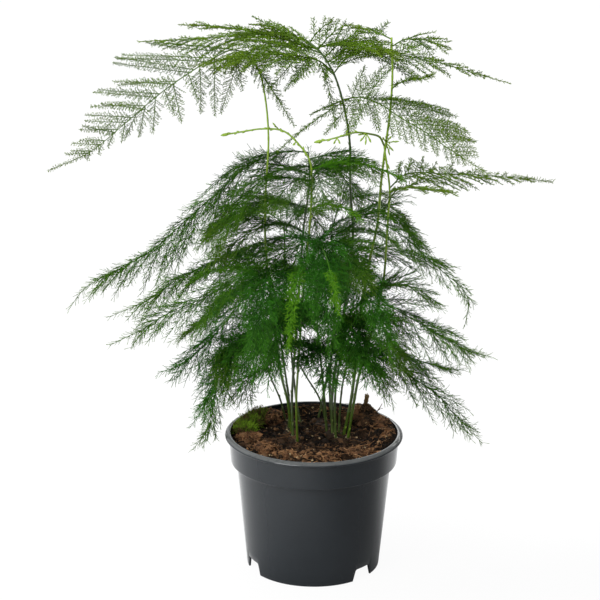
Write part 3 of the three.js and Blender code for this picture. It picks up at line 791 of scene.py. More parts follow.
YOUNG_SHOOTS = {
    "young_shoot_left": (0.8, [(-11, -3, 87), (-12, -9, 120), (-11, -12, 142), (-7, -16, 210),
        (-5, -16, 230), (-3, -14, 260), (-4, -10, 285), (-11, -6, 295), (-21, -2, 303), (-35, 4, 303),
        (-48, 8, 300), (-59, 12, 297)]),
    "young_shoot_right": (0.7, [(44, -2, 294), (41, -4, 300), (35, -8, 303), (25, -12, 305), (16, -14, 303),
        (9, -14, 301), (2, -12, 299)]),
}
STEM_DEPTH = 1.6
STEM_STEP = 2.0


def stem_path(points):
    """A stem's route, started a little below its first point, down in its crown."""
    first, second = np.array(points[0], float), np.array(points[1], float)
    return smooth_path([first + unit(first - second) * STEM_DEPTH, *points], STEM_STEP)


print("stems", len(STEMS), "young shoots", len(YOUNG_SHOOTS))

# %% [markdown]
# Stem finishes. The climbing shoots are a pale green with a waxy gloss, the older ones nearly black green.
# The colour runs with the same tint and along values as the needles.

# %% Stem finishes
def stem_finish(name, deep, fresh, tip, tip_share):
    finish = Finish(name, Specular_IOR_Level=0.5)
    age = finish.age_colour(deep, fresh, tip, tip_share)
    finish.spread("Roughness", age, 0.26, 0.45)
    return finish


stem_finishes = {
    "light": stem_finish(
        "waxy_pale_stem", (0.026, 0.07, 0.012), (0.29, 0.42, 0.035), (0.23, 0.38, 0.012), 0.85
    ),
    "dark": stem_finish("wiry_dark_stem", (0.008, 0.026, 0.005), (0.2, 0.28, 0.07), (0.05, 0.11, 0.015), 0.7),
}

# %% [markdown]
# The stem itself tapers and swells a little at each node, where a small papery scale clasps it. The scales
# are flattened needles pressed against the stem. Every stem is paler near the soil, and the climbing shoots
# also carry a painted light high up, where they stand clear of the foliage, so the tint is worked out from
# the length that lies below.

# %% Stem meshes
NODE_SPACING = 13.0
NODE_SWELLING = 0.16
SCALE_LENGTH = 3.0
SCALE_LEAN = 0.35
TOP_SHARE = 0.55
STEM_SIDES = 8
STEM_TINT = 0.14
PALE_FOOT = 28
# Where the painted light on the climbing shoots begins, and over how long it grows, in mm along the stem.
PAINTED_LIGHT_FROM, PAINTED_LIGHT_OVER = 55, 60
PALENESS_AND_PAINTED_LIGHT = {
    # finish: how much paler at the soil, and how much painted light above the foliage
    "light": (0.14, 0.45),
    "dark": (0.36, 0.0),
}
STEM_SEED = 100


def grow_scales(growth, path, radii, rng):
    """Small scales that leave a stem alternately, on every side."""
    arc = arc_lengths(path)
    where = np.arange(NODE_SPACING * 0.7, arc[-1], NODE_SPACING)
    where = np.clip(where + rng.uniform(-0.2, 0.2, len(where)) * NODE_SPACING, 0, arc[-1])
    centre = at_arc(path, arc, where)
    heading = unit(at_arc(unit(np.gradient(path, axis=0)), arc, where))
    first, second = square_axes(heading)
    turn = np.arange(len(where)) * LEAF_TURN + rng.uniform(0, 0.6, len(where))
    out = first * np.cos(turn)[:, None] + second * np.sin(turn)[:, None]
    thick = np.interp(where, arc, radii)
    foot = centre + out * (thick * 0.5)[:, None]
    slivers(growth, foot, heading + out * SCALE_LEAN, SCALE_LENGTH, thick * 1.1, 1.0, where / arc[-1])


def grow_stem(growth, points, radius, rng, foot_paleness, painted_top_light):
    path = stem_path(points)
    arc = arc_lengths(path)
    share = arc / arc[-1]
    swelling = 1 + NODE_SWELLING * np.exp(-(((arc % NODE_SPACING) - NODE_SPACING / 2) ** 2) / 1.2)
    radii = radius * (1 - (1 - TOP_SHARE) * share) * swelling
    # Painted light: the climbing shoots are coloured paler high up, where they stand clear of the foliage.
    clear = np.clip((arc - PAINTED_LIGHT_FROM) / PAINTED_LIGHT_OVER, 0, 1)
    tint = STEM_TINT + foot_paleness * np.exp(-arc / PALE_FOOT) + painted_top_light * clear
    tube(growth, path, radii, STEM_SIDES, tint, share)
    grow_scales(growth, path, radii, rng)
    return path


stem_paths = {}
for seed, (stem_name, (radius, kind, points)) in enumerate(STEMS.items(), STEM_SEED):
    growth = Growth()
    rng = np.random.default_rng(seed)
    stem_paths[stem_name] = grow_stem(growth, points, radius, rng, *PALENESS_AND_PAINTED_LIGHT[kind])
    piece = growth.piece("fine_stem_" + stem_name, smooth=True)
    settle(piece, stem_finishes[kind], "stem_" + kind, "stem_" + stem_name)
print("fine stems", len(stem_paths))

# %% [markdown]
# The two young shoots haven't opened. Small scale buds are pressed against them by turns, closer together
# towards the drooping end, and a plump one closes the tip. Here and there a tuft of unopened twigs stands
# out, and the tall stem beside them carries two more.

# %% Young shoots
SHOOT_SEED = 140
ARCH_FOOT, ARCH_TOP = 290, 320
BUD_TINT = 0.9
BUD_TURN = 2.6
BUD_GAP = (4.0, 7.5)
BUD_LENGTH = (2.0, 3.2)
TWIG_BUD_LENGTH = (1.4, 2.2)
BUD_OUTLINE = ((0.0, 0.45), (0.3, 1.0), (0.65, 0.85), (0.9, 0.4), (1.0, 0.08))
TUFTS = {
    # shoot or stem: height or place in x of each tuft, and the twigs in it, in mm
    "young_shoot_left": [(-24, [(-3.6, -1, 4.2)]), (-12.5, [(-1.6, -1, -1.8)])],
    "young_shoot_right": [
        (33, [(-3.5, -1, -4.5), (2.6, -2, -4.8), (-0.5, -3, -6.0), (-4.6, 1, -1.2)]),
        (12.6, [(-1.8, -1, -3.4), (1.6, -2, -3.0)]),
        (20, [(0.6, -1, 2.4)]),
    ],
    "right_tall": [
        (294, [(7.5, -3, 1.5), (3.0, -4, 4.8), (4.2, -3, -4.2), (2.4, 1, -8.0), (-2.0, -3, 3.8),
            (1.0, -3, 7.4)]),
        (283, [(3.2, -3, -6.4)]),
    ],
}


def grow_bud(growth, base, direction, length, thick, tint, along):
    shares, swells = zip(*BUD_OUTLINE)
    path = base + unit(direction) * (np.array(shares)[:, None] * length)
    tube(growth, path, np.array(swells) * thick, 6, tint, along)


def grow_tufts(growth, path, tufts, rng):
    """Unopened twigs: a stalk with little buds pressed against it."""
    if path[-1][2] > ARCH_TOP:
        where = path[:, 2]
    else:
        where = np.where(path[:, 2] > ARCH_FOOT, path[:, 0], np.inf)
    for place, twigs in tufts:
        foot = path[int(np.abs(where - place).argmin())]
        for twig in np.array(twigs, float):
            length = np.linalg.norm(twig)
            tube(growth, [foot, foot + twig * 0.7], (0.4, 0.3), 5, 0.8, 0.7)
            for share in np.arange(0.35, 0.95, 1.4 / length):
                aside = unit(twig / length + rng.normal(0, 0.4, 3))
                node = foot + twig * share * 0.75
                grow_bud(growth, node, aside, rng.uniform(*TWIG_BUD_LENGTH), 0.48, BUD_TINT, BUD_TINT)
            grow_bud(growth, foot + twig * 0.65, twig, 0.4 * length + 0.8, 0.62, BUD_TINT, BUD_TINT)


def grow_young_shoot(growth, points, radius, rng):
    from_soil = points[0][2] < POT_HEIGHT
    path = stem_path(points) if from_soil else smooth_path(points, STEM_STEP)
    arc = arc_lengths(path)
    headings = unit(np.gradient(path, axis=0))
    share = arc / arc[-1]
    tube(growth, path, radius * (1 - 0.3 * share), STEM_SIDES, 0.36, 0.2 + share * 0.7)
    at = 0.55 * arc[-1] if from_soil else 5.0
    turn = 0.0
    while at < arc[-1] - 2:
        i = int(np.searchsorted(arc, at))
        first, second = square_axes(headings[i])
        out = first * math.cos(turn) + second * math.sin(turn)
        aim = headings[i] + out * 0.5
        grow_bud(growth, path[i], aim, rng.uniform(*BUD_LENGTH), 0.62, BUD_TINT, BUD_TINT)
        turn += BUD_TURN + rng.uniform(-0.3, 0.3)
        at += rng.uniform(*BUD_GAP) * (1.3 - 0.75 * at / arc[-1])
    grow_bud(growth, path[-1] - headings[-1] * 2, headings[-1], 6.0, 1.15, BUD_TINT, BUD_TINT)
    return path


for seed, (shoot_name, (radius, points)) in enumerate(YOUNG_SHOOTS.items(), SHOOT_SEED):
    growth = Growth()
    rng = np.random.default_rng(seed)
    stem_paths[shoot_name] = grow_young_shoot(growth, points, radius, rng)
    grow_tufts(growth, stem_paths[shoot_name], TUFTS[shoot_name], rng)
    piece = growth.piece("fine_" + shoot_name, smooth=True)
    settle(piece, stem_finishes["light"], "stem_light", shoot_name)
print("young shoots", len(YOUNG_SHOOTS))

# %% [markdown]
# The tufts of the tall stem are a piece of their own, which grows on the stem and replaces no node.

# %% Tufts on the tall stem
TUFT_SEED = 145
growth = Growth()
grow_tufts(growth, stem_paths["right_tall"], TUFTS["right_tall"], np.random.default_rng(TUFT_SEED))
settle(growth.piece("fine_tufts_right_tall", smooth=True), stem_finishes["light"], "stem_light")

# %% [markdown]
# The sprays. A frond is a tree of four orders: the spine, side sprays that leave it by turns to the left and
# right, sprigs along each side spray, and little clusters of needles on all of these. Real asparagus needles
# are thread-thin, so each is one closed sliver of four faces, and thousands of them together read as a haze.
# A particle system would grow them too, but a mesh keeps every needle in the finished model. A feather or a
# flat spray holds all four orders close to one plane, as the young top of the plant does. A plume lets side
# sprays and sprigs stand out of that plane and has long needles, as the old, dark fronds below have. A layer
# is a plume that is pressed flatter, a heart is one with stouter needles, for the thick of the plant, and a
# young spray is short and has only just opened.

# %% Spray kinds
SPRAYS = {
    # gap: between side sprays of one side, thinning: how much that closes up towards the tip,
    # bare: naked foot of the spine, ends: share of the spine where side sprays stop,
    # narrowing: how fast they get shorter, bend: towards the frond's tip, roll: out of the frond's plane,
    # axis: radius of a side spray's twig, branched: share of a side spray with sprigs,
    # cluster: between clusters of needles, needle and width: length and thickness of a needle,
    # openness: how far a cluster opens, flatness: 1 if it opens all round, less if it keeps to the plane
    "feather": dict(
        gap=12.0, thinning=0.5, bare=12.0, ends=0.86, narrowing=1.0, sag=0.0, bend=0.0, roll=0.08, axis=0.34,
        sprig_gap=0.85, sprig=4.0, sprig_share=0.14, sprig_lean=1.05, branched=1.0, spread=0.3,
        cluster=1.3, needle=1.4, width=0.36, openness=0.7, flatness=0.6,
    ),
    "flat": dict(
        gap=8.5, thinning=0.45, bare=5.0, ends=0.88, narrowing=0.8, sag=0.2, bend=0.35, roll=0.2, axis=0.3,
        sprig_gap=1.15, sprig=6.0, sprig_share=0.18, sprig_lean=0.95, branched=1.0, spread=0.25,
        cluster=1.5, needle=2.1, width=0.42, openness=0.65, flatness=0.6,
    ),
    "plume": dict(
        gap=7.5, thinning=0.4, bare=5.0, ends=0.85, narrowing=0.75, sag=0.4, bend=0.8, roll=0.45, axis=0.3,
        sprig_gap=2.5, sprig=13.0, sprig_share=0.32, sprig_lean=0.75, branched=0.75, spread=0.6,
        cluster=2.3, needle=5.4, width=0.33, openness=0.6, flatness=1.0,
    ),
    "layer": dict(
        gap=6.5, thinning=0.4, bare=3.0, ends=0.88, narrowing=0.7, sag=0.25, bend=0.7, roll=0.16, axis=0.28,
        sprig_gap=2.3, sprig=12.0, sprig_share=0.3, sprig_lean=0.7, branched=0.85, spread=0.32,
        cluster=2.2, needle=4.6, width=0.3, openness=0.55, flatness=0.7,
    ),
    "young": dict(
        gap=7.0, thinning=0.4, bare=4.0, ends=0.9, narrowing=0.8, sag=0.3, bend=0.5, roll=0.3, axis=0.3,
        sprig_gap=1.7, sprig=5.0, sprig_share=0.25, sprig_lean=0.8, branched=0.85, spread=0.5,
        cluster=1.6, needle=3.6, width=0.44, openness=0.65, flatness=0.9,
    ),
}
SPRAYS["heart"] = dict(SPRAYS["plume"], width=0.42)
print("spray kinds", len(SPRAYS))

# %% [markdown]
# Needles and sprigs. Needles sit in little clusters, which open like a fan around the twig they stand on.
# The same clusters dress the twig itself and the sprigs that leave it. Each order gets a tint of its own, a
# little off the tint of what it grows on, so that single threads stay apart from each other in the picture.

# %% Needles and sprigs
CLUSTER_NEEDLES = 2
NEEDLE_TINT_SPREAD = 0.26
SPRIG_TINT_SPREAD = 0.12


def needle_clusters(growth, centre, heading, normal, kind, tint, age, rng):
    """Needles in little clusters that open around the axis they sit on."""
    centre, heading, tint, age = (np.repeat(v, CLUSTER_NEEDLES, axis=0) for v in (centre, heading, tint, age))
    count = len(centre)
    first, second = square_axes(heading)
    spin = rng.uniform(0, 2 * math.pi, count)[:, None]
    opening = (kind["openness"] * rng.uniform(0.6, 1.3, count))[:, None]
    needle = heading * np.cos(opening) + (first * np.cos(spin) + second * np.sin(spin)) * np.sin(opening)
    needle = needle - normal * (needle @ normal)[:, None] * (1 - kind["flatness"])
    length = kind["needle"] * rng.uniform(0.6, 1.15, count)
    tint = np.clip(tint + rng.normal(0, NEEDLE_TINT_SPREAD, count), 0, 1)
    slivers(growth, centre, needle, length, kind["width"], tint, np.clip(age + 0.1, 0, 1))


def dress(growth, path, normal, kind, reach, tint, age, rng):
    """Needles along a twig, and sprigs with needles of their own, longest at the twig's foot."""
    arc = arc_lengths(path)
    headings = unit(np.gradient(path, axis=0))

    where = np.arange(kind["cluster"] * 0.5, arc[-1], kind["cluster"])
    share = where / arc[-1]
    axis_heading = unit(at_arc(headings, arc, where))
    ages = np.clip(age + 0.35 * share, 0, 1)
    tints = np.full(len(where), tint)
    needle_clusters(growth, at_arc(path, arc, where), axis_heading, normal, kind, tints, ages, rng)

    where = np.arange(kind["sprig_gap"] * 0.7, arc[-1] * kind["branched"], kind["sprig_gap"])
    if not len(where) or reach < 0.5:
        return
    where = where + rng.uniform(-0.3, 0.3, len(where)) * kind["sprig_gap"]
    share = where / (arc[-1] * kind["branched"])
    centre = at_arc(path, arc, where)
    heading = unit(at_arc(headings, arc, where))
    side = np.where(np.arange(len(where)) % 2, 1.0, -1.0)[:, None]
    across = unit(np.cross(normal, heading)) * side
    out = rng.normal(0, kind["spread"], len(where))[:, None]
    lean = (kind["sprig_lean"] * rng.uniform(0.85, 1.15, len(where)) * (1 - 0.3 * share))[:, None]
    direction = heading * np.cos(lean) + (across * np.cos(out) + normal * np.sin(out)) * np.sin(lean)
    length = reach * np.clip(1 - share, 0, 1) ** 0.8 * rng.uniform(0.7, 1.15, len(where)) + 0.8
    sprig_tint = np.clip(tint + rng.normal(0, SPRIG_TINT_SPREAD, len(where)), 0, 1)
    sprig_age = np.clip(age + 0.35 * share * kind["branched"], 0, 1)
    slivers(growth, centre, direction, length, kind["width"], sprig_tint * 0.8, sprig_age)

    clusters = np.maximum(1, np.round(length / kind["cluster"])).astype(int)
    sprig = np.repeat(np.arange(len(where)), clusters)
    rank = np.arange(len(sprig)) - np.repeat(np.cumsum(clusters) - clusters, clusters)
    place = np.clip((rank + rng.uniform(0.3, 0.8, len(sprig))) / clusters[sprig], 0, 0.97)
    foot = centre[sprig] + direction[sprig] * (length[sprig] * place)[:, None]
    needle_clusters(growth, foot, direction[sprig], normal, kind, sprig_tint[sprig], sprig_age[sprig], rng)


# %% [markdown]
# Side sprays and whole fronds. A side spray is walked step by step, and every step turns it a little towards
# the frond's tip and down. A frond goes along its spine, sets side sprays by turns to the left and the
# right, and makes them shorter towards its tip. A few fronds have single sprays placed one by one, where the
# real one has a gap or a long thread that the rule would miss.

# %% Side sprays and fronds
SPRAY_TINT_SPREAD = 0.17
FROND_TINT = 0.5
FULL_SAG_LENGTH = 28
TWIG_TIP_RADIUS = 0.17
SPINE_RADII = (0.5, 0.16)
SPINE_RING_GAP = 4


def side_spray(growth, base, leave, along, normal, length, hang, kind, tint, age, rng):
    """One side spray: a thin twig that bends towards the frond's tip and sags, dressed with sprigs."""
    count = max(4, int(length / 4) + 2)
    step = length / (count - 1)
    wobble = rng.normal(0, 0.07, 3)
    path = [base]
    for i in range(1, count):
        share = i / (count - 1)
        weight = (kind["sag"] + hang) * share * min(1.3, length / FULL_SAG_LENGTH)
        heading = unit(leave + along * kind["bend"] * share - UP * weight + wobble * share)
        path.append(path[-1] + heading * step)
    path = np.array(path)
    tube(growth, path, np.linspace(kind["axis"], TWIG_TIP_RADIUS, count), 3, tint * 0.5, age)
    reach = min(kind["sprig"], kind["sprig_share"] * length)
    dress(growth, path, normal, kind, reach, tint, age, rng)


def outline(share, narrowing):
    """How wide a frond is along its spine, as a share of its widest."""
    return min(1.0, 0.5 + share / 0.2) * max(0.0, 1 - share) ** narrowing * 1.1


def grow_frond(growth, frond, rng):
    """A whole frond. tilt is 0 for a spray that lies flat and 90 for one that stands on edge."""
    kind = {**SPRAYS[frond["kind"]], **frond.get("but", {})}
    hang = frond.get("hang", (0.0, 0.0))
    spine = smooth_path(frond["points"], 1.0)
    arc = arc_lengths(spine)
    total = arc[-1]
    level = unit(np.cross(UP, spine[-1] - spine[0]))
    headings = unit(np.gradient(spine, axis=0))
    radii = np.interp(arc, [0, total], SPINE_RADII)
    ages = 0.6 * arc / total
    keep = np.unique(np.append(np.arange(0, len(spine), SPINE_RING_GAP), len(spine) - 1))
    tube(growth, spine[keep], radii[keep], 5, FROND_TINT * 0.5, ages[keep])
    at = kind["bare"]
    turn = rng.integers(0, 2)
    while at < total * kind["ends"]:
        share = at / total
        i = min(len(spine) - 1, int(at))
        along = headings[i]
        flat_side = unit(level - along * np.dot(level, along))
        rise = np.cross(along, flat_side)
        side = turn % 2
        if not frond["reach"][side]:
            side = 1 - side
            at += kind["gap"] / 2 * (1 - kind["thinning"] * share)
            if at >= total * kind["ends"]:
                break
        sign = -1 if side else 1
        lean = math.radians(frond.get("tilt", 0)) + rng.normal(0, kind["roll"])
        across = (flat_side * math.cos(lean) + rise * math.sin(lean)) * sign
        leave = frond.get("leave", (44, 44))[side]
        if isinstance(leave, tuple):
            leave = unit(unit(leave) + rng.normal(0, 0.05, 3))
        else:
            angle = math.radians(leave) * (1 - 0.25 * share) * rng.uniform(0.88, 1.1)
            leave = along * math.cos(angle) + across * math.sin(angle)
        normal = unit(np.cross(along, leave))
        length = frond["reach"][side] * outline(share, kind["narrowing"]) * rng.uniform(0.84, 1.1) + 2.0
        tint = float(np.clip(FROND_TINT + rng.normal(0, SPRAY_TINT_SPREAD), 0, 1))
        side_spray(growth, spine[i], leave, along, normal, length, hang[side], kind, tint, 0.6 * share, rng)
        at += kind["gap"] / 2 * (1 - kind["thinning"] * share) * rng.uniform(0.75, 1.25)
        turn += 1
    for share, (x, y, z) in frond.get("extra", ()):
        i = int(share * (len(spine) - 1))
        leave = np.array([x, y, z], float)
        length = np.linalg.norm(leave)
        normal = unit(np.cross(headings[i], leave))
        wider = frond.get("extra_sprig", 1.0)
        wide = dict(kind, sprig=kind["sprig"] * wider, sprig_share=kind["sprig_share"] * wider)
        leave, along, age = leave / length, headings[i], 0.5 * share
        side_spray(growth, spine[i], leave, along, normal, length, 0.0, wide, FROND_TINT, age, rng)
    tail = spine[int(len(spine) * (kind["ends"] - 0.1)):]
    dress(growth, tail, normal, kind, 1.5, FROND_TINT, 0.6, rng)


# %% [markdown]
# Where the fronds are. Each leaves one stem and keeps to the spine that the construction model gave it. The
# reach says how long its side sprays are to the left and right, seen from the stem, and leave is the angle
# at which they part from the spine, or the direction that they all take. hang adds to how much they sag. On
# a spray that stands on edge, left means up.

# %% Fronds
FRONDS = {
    "upper_left": dict(
        kind="feather", tilt=90, reach=(60, 0), leave=((-1, -0.3, 0.14), (0.0, -0.15, -1)), extra_sprig=2.4,
        extra=[(0.0, (30, -6, -44)), (0.02, (24, -10, -30)), (0.04, (-16, -8, -38)), (0.07, (4, -4, -26)),
            (0.17, (-1, -5, -37)), (0.25, (2, -5, -29)), (0.31, (6, -4, -16)), (0.39, (4, -4, -24)),
            (0.44, (7, -3, -15)), (0.49, (-1, -4, -22)), (0.54, (-4, -3, -19)), (0.59, (-7, -3, -15)),
            (0.65, (-2, -2, -11)), (0.71, (-3, -2, -8)), (0.77, (-2, -2, -6)), (0.83, (-2, -1, -5))],
        points=[(-43, 6, 351), (-48, 4, 354), (-55, 0, 356), (-65, -8, 353), (-81, -22, 346),
            (-99, -38, 336), (-120, -55, 321), (-141, -68, 306), (-166, -80, 297)],
    ),
    "top_left": dict(
        kind="flat", tilt=-6, reach=(44, 24), leave=(42, 34), hang=(0.3, 0.1),
        but=dict(gap=11.0, narrowing=0.9),
        points=[(-6, 24, 357), (-21, 28, 361), (-37, 32, 360), (-64, 40, 356), (-90, 48, 352),
            (-117, 56, 349)],
    ),
    "top_middle": dict(
        kind="flat", tilt=-4, reach=(44, 28), leave=(46, 44), hang=(0.2, 0.0),
        extra=[(0.12, (16, -8, -40)), (0.2, (-14, -14, -20)), (0.3, (-18, -16, -20))],
        points=[(9, 15, 340), (2, 8, 347), (-11, 0, 352), (-27, -8, 355), (-46, -16, 356), (-65, -22, 353),
            (-80, -26, 351)],
    ),
    "top_right": dict(
        kind="flat", tilt=20, reach=(40, 44), leave=(44, 46), hang=(0.1, 0.25), but=dict(narrowing=1.5),
        extra=[(0.1, (-28, 12, 4)), (0.12, (6, 30, 2)), (0.2, (-18, 28, 3)), (0.3, (-8, 32, 3))],
        points=[(11, 21, 336), (19, 28, 344), (30, 32, 348), (50, 36, 346), (68, 40, 342), (88, 42, 337),
            (108, 42, 331), (127, 40, 326)],
    ),
    "crown_left": dict(
        kind="flat", reach=(18, 16), leave=(40, 40), hang=(0.2, 0.2),
        points=[(48, 8, 362), (39, 14, 365), (32, 20, 366), (24, 26, 367)],
    ),
    "crown_right": dict(
        kind="flat", tilt=10, reach=(22, 26), hang=(0.1, 0.3),
        points=[(49, 6, 358), (56, 2, 363), (66, -2, 364), (75, -6, 363), (84, -8, 359)],
    ),
    "twig_right": dict(
        kind="young", finish="flat", reach=(11, 11), leave=(45, 45),
        points=[(49, 6, 330), (55, 0, 336), (63, -6, 339), (69, -10, 341), (75, -14, 344)],
    ),
    "side_right": dict(
        kind="feather", tilt=90, reach=(60, 22), leave=((1, -0.2, 0.12), (0.3, -0.2, -1)), extra_sprig=1.3,
        but=dict(gap=8.0, bare=14.0, sprig=5.6, sprig_share=0.2, axis=0.26, sag=0.35, needle=1.9, roll=0.16),
        extra=[(0.03, (-26, 4, -8)), (0.05, (-52, -10, -26)), (0.1, (-24, -4, -22)), (0.1, (16, 6, 24)),
            (0.06, (8, 6, 20)), (0.16, (14, 4, 22)), (0.12, (-12, -6, -24)), (0.18, (-16, -6, -20))],
        points=[(18, 16, 320), (28, 10, 323), (41, 0, 321), (54, -8, 314), (70, -18, 307), (85, -26, 298),
            (107, -36, 286)],
    ),
    "far_right": dict(
        kind="flat", tilt=18, reach=(20, 34), leave=(48, 40), hang=(-0.1, 0.15), but=dict(narrowing=1.2),
        extra=[(0.05, (2, 3, 12)), (0.1, (6, 4, 10)), (0.21, (1, 3, 10)), (0.27, (4, 3, 7)),
            (0.4, (2, 3, 8))],
        extra_sprig=1.5,
        points=[(48, -5, 266), (56, 2, 272), (65, 12, 272), (82, 28, 267), (107, 48, 261), (136, 66, 254),
            (163, 82, 247)],
    ),
    "under_right": dict(
        kind="flat", reach=(24, 24), leave=(45, 45),
        points=[(47, -6, 256), (52, -14, 267), (59, -24, 272), (70, -34, 274), (82, -44, 275),
            (89, -50, 274)],
    ),
    "crest_left": dict(
        kind="plume", tilt=-8, reach=(60, 24), leave=(40, 34), hang=(0.6, 0.3),
        points=[(-5, 20, 283), (-17, 20, 284), (-35, 16, 280), (-51, 12, 271), (-68, 6, 256), (-86, 0, 241),
            (-105, -6, 225), (-125, -12, 214), (-142, -16, 206), (-153, -18, 198), (-161, -20, 187)],
    ),
    "left_two": dict(
        kind="plume", tilt=-8, reach=(58, 30), leave=(40, 36), hang=(0.5, 0.2),
        points=[(-2, 0, 227), (-17, 14, 227), (-36, 26, 219), (-54, 38, 209), (-75, 48, 196),
            (-96, 56, 182), (-115, 60, 167), (-141, 62, 154)],
    ),
    "left_three": dict(
        kind="plume", tilt=-15, reach=(54, 42), leave=(40, 42), hang=(0.35, 0.0),
        but=dict(gap=8.5),
        points=[(-2, 0, 229), (-17, -16, 227), (-35, -30, 222), (-52, -42, 214), (-71, -50, 205),
            (-92, -54, 197), (-112, -56, 185), (-132, -58, 175)],
    ),
    "left_four": dict(
        kind="plume", tilt=-15, reach=(52, 36), leave=(42, 42), hang=(0.35, 0.0),
        points=[(-30, 26, 196), (-41, 40, 190), (-51, 52, 179), (-64, 62, 165), (-76, 68, 151),
            (-86, 72, 141), (-100, 74, 132)],
    ),
    "left_five": dict(
        kind="plume", finish="shade", tilt=-15, reach=(48, 40), leave=(42, 44), hang=(0.3, 0.0),
        points=[(-30, 25, 194), (-40, 12, 192), (-50, 2, 184), (-61, -8, 172), (-73, -14, 160),
            (-84, -18, 151), (-94, -20, 146), (-104, -22, 143)],
    ),
    "left_six": dict(
        kind="plume", finish="shade", tilt=-10, reach=(38, 34), leave=(42, 44), hang=(0.2, 0.0),
        points=[(-23, 11, 164), (-33, 8, 167), (-44, -4, 165), (-56, -18, 155), (-66, -28, 140),
            (-73, -33, 124), (-82, -36, 110)],
    ),
    "left_seven": dict(
        kind="plume", reach=(32, 32), leave=(42, 42),
        points=[(-42, 32, 152), (-50, 28, 149), (-59, 24, 141), (-65, 20, 126), (-68, 16, 110),
            (-71, 12, 94), (-82, 8, 77)],
    ),
    "left_inner": dict(
        kind="plume", reach=(30, 30), leave=(42, 42),
        points=[(-41, 32, 149), (-46, 40, 146), (-52, 46, 136), (-56, 50, 122), (-60, 52, 106),
            (-63, 53, 91)],
    ),
    "crest_right": dict(
        kind="layer", tilt=8, reach=(26, 40), leave=(36, 44), hang=(0.1, 0.2),
        points=[(-4, 19, 279), (6, 8, 284), (19, -2, 286), (30, -10, 285), (43, -16, 276)],
    ),
    "right_two": dict(
        kind="layer", tilt=10, reach=(24, 32), leave=(42, 44), hang=(0.0, 0.25),
        but=dict(gap=11.0),
        points=[(11, 32, 226), (17, 38, 242), (27, 42, 247), (38, 46, 243), (52, 48, 237), (65, 50, 226)],
    ),
    "right_arch": dict(
        kind="layer", tilt=12, reach=(22, 32), leave=(40, 44), hang=(0.0, 0.3),
        but=dict(gap=10.0),
        points=[(10, 30, 230), (20, 16, 239), (32, -4, 246), (45, -19, 245), (58, -27, 239), (71, -32, 228),
            (84, -35, 217), (93, -37, 210), (99, -38, 200), (97, -38, 182)],
    ),
    "right_three": dict(
        kind="layer", tilt=12, reach=(32, 40), leave=(42, 44), hang=(0.0, 0.3), but=dict(gap=9.5),
        points=[(13, 28, 202), (24, 44, 209), (38, 58, 206), (55, 70, 201), (73, 78, 194), (87, 82, 189),
            (99, 84, 184)],
    ),
    "right_four": dict(
        kind="plume", tilt=10, reach=(44, 46), leave=(42, 44), hang=(0.0, 0.25),
        points=[(24, -8, 183), (33, -16, 191), (46, -24, 192), (62, -32, 186), (81, -40, 177),
            (97, -46, 169), (114, -50, 166)],
    ),
    "right_five": dict(
        kind="plume", tilt=10, reach=(38, 40), leave=(42, 44), hang=(0.0, 0.3), but=dict(gap=9.0),
        points=[(32, 13, 157), (41, 22, 153), (53, 32, 144), (67, 40, 133), (83, 44, 126), (104, 48, 121)],
    ),
    "right_six": dict(
        kind="plume", tilt=10, reach=(36, 38), leave=(42, 44), hang=(0.0, 0.2), but=dict(gap=9.0),
        points=[(31, 13, 156), (40, 2, 153), (54, -8, 144), (67, -14, 137), (80, -20, 130), (93, -24, 116),
            (112, -28, 97)],
    ),
    "front_left": dict(
        kind="plume", finish="shade", reach=(42, 42), hang=(0.2, 0.2),
        points=[(-31, 3, 200), (-31, -16, 214), (-32, -40, 216), (-34, -64, 209), (-36, -84, 198),
            (-38, -98, 186), (-39, -106, 175)],
    ),
    "front_bright": dict(
        kind="young", reach=(16, 16), leave=(45, 45),
        points=[(-10, 14, 202), (-14, -4, 211), (-17, -24, 208), (-17, -42, 198), (-16, -52, 184),
            (-13, -58, 169)],
    ),
    "front_centre": dict(
        kind="plume", finish="shade", reach=(42, 42), hang=(0.2, 0.2),
        points=[(-1, 1, 222), (1, -18, 236), (3, -44, 236), (5, -68, 226), (7, -88, 211), (8, -102, 195),
            (8, -110, 183)],
    ),
    "front_right": dict(
        kind="plume", finish="shade", reach=(42, 42), hang=(0.2, 0.2),
        points=[(13, 28, 196), (18, 2, 213), (25, -28, 215), (34, -54, 208), (41, -74, 197), (46, -88, 186),
            (49, -94, 175)],
    ),
    "front_low": dict(
        kind="young", reach=(18, 18), leave=(45, 45),
        points=[(20, -4, 164), (20, -20, 168), (20, -36, 164), (22, -46, 156), (23, -52, 147)],
    ),
    "back_left": dict(
        kind="plume", reach=(44, 44), hang=(0.2, 0.2),
        points=[(-21, 56, 223), (-31, 68, 227), (-43, 80, 225), (-57, 92, 217), (-72, 102, 204),
            (-83, 108, 188)],
    ),
    "back_centre": dict(
        kind="plume", reach=(42, 42), hang=(0.2, 0.2),
        points=[(-21, 55, 218), (-14, 72, 226), (-8, 86, 226), (-4, 98, 221), (0, 106, 210), (3, 112, 195)],
    ),
    "back_right": dict(
        kind="plume", reach=(44, 44), hang=(0.2, 0.2),
        points=[(24, 59, 221), (32, 70, 229), (43, 80, 227), (56, 90, 218), (68, 98, 204), (80, 102, 188)],
    ),
    "back_low": dict(
        kind="plume", reach=(38, 38), hang=(0.2, 0.2),
        points=[(22, 55, 196), (26, 68, 198), (26, 80, 192), (25, 92, 178), (24, 100, 162), (23, 104, 145)],
    ),
}
print("fronds", len(FRONDS))

# %% [markdown]
# More sprays grow on the same stems, in the thick of the plant, where the construction model leaves them out
# because the fronds around them fill the same space. Each starts at a height on a stem and arches over in
# the direction it is given: 0 is towards the camera and 90 to the right. The arch is a parabola, fixed by
# how high it climbs above its foot and how far below the foot it ends.

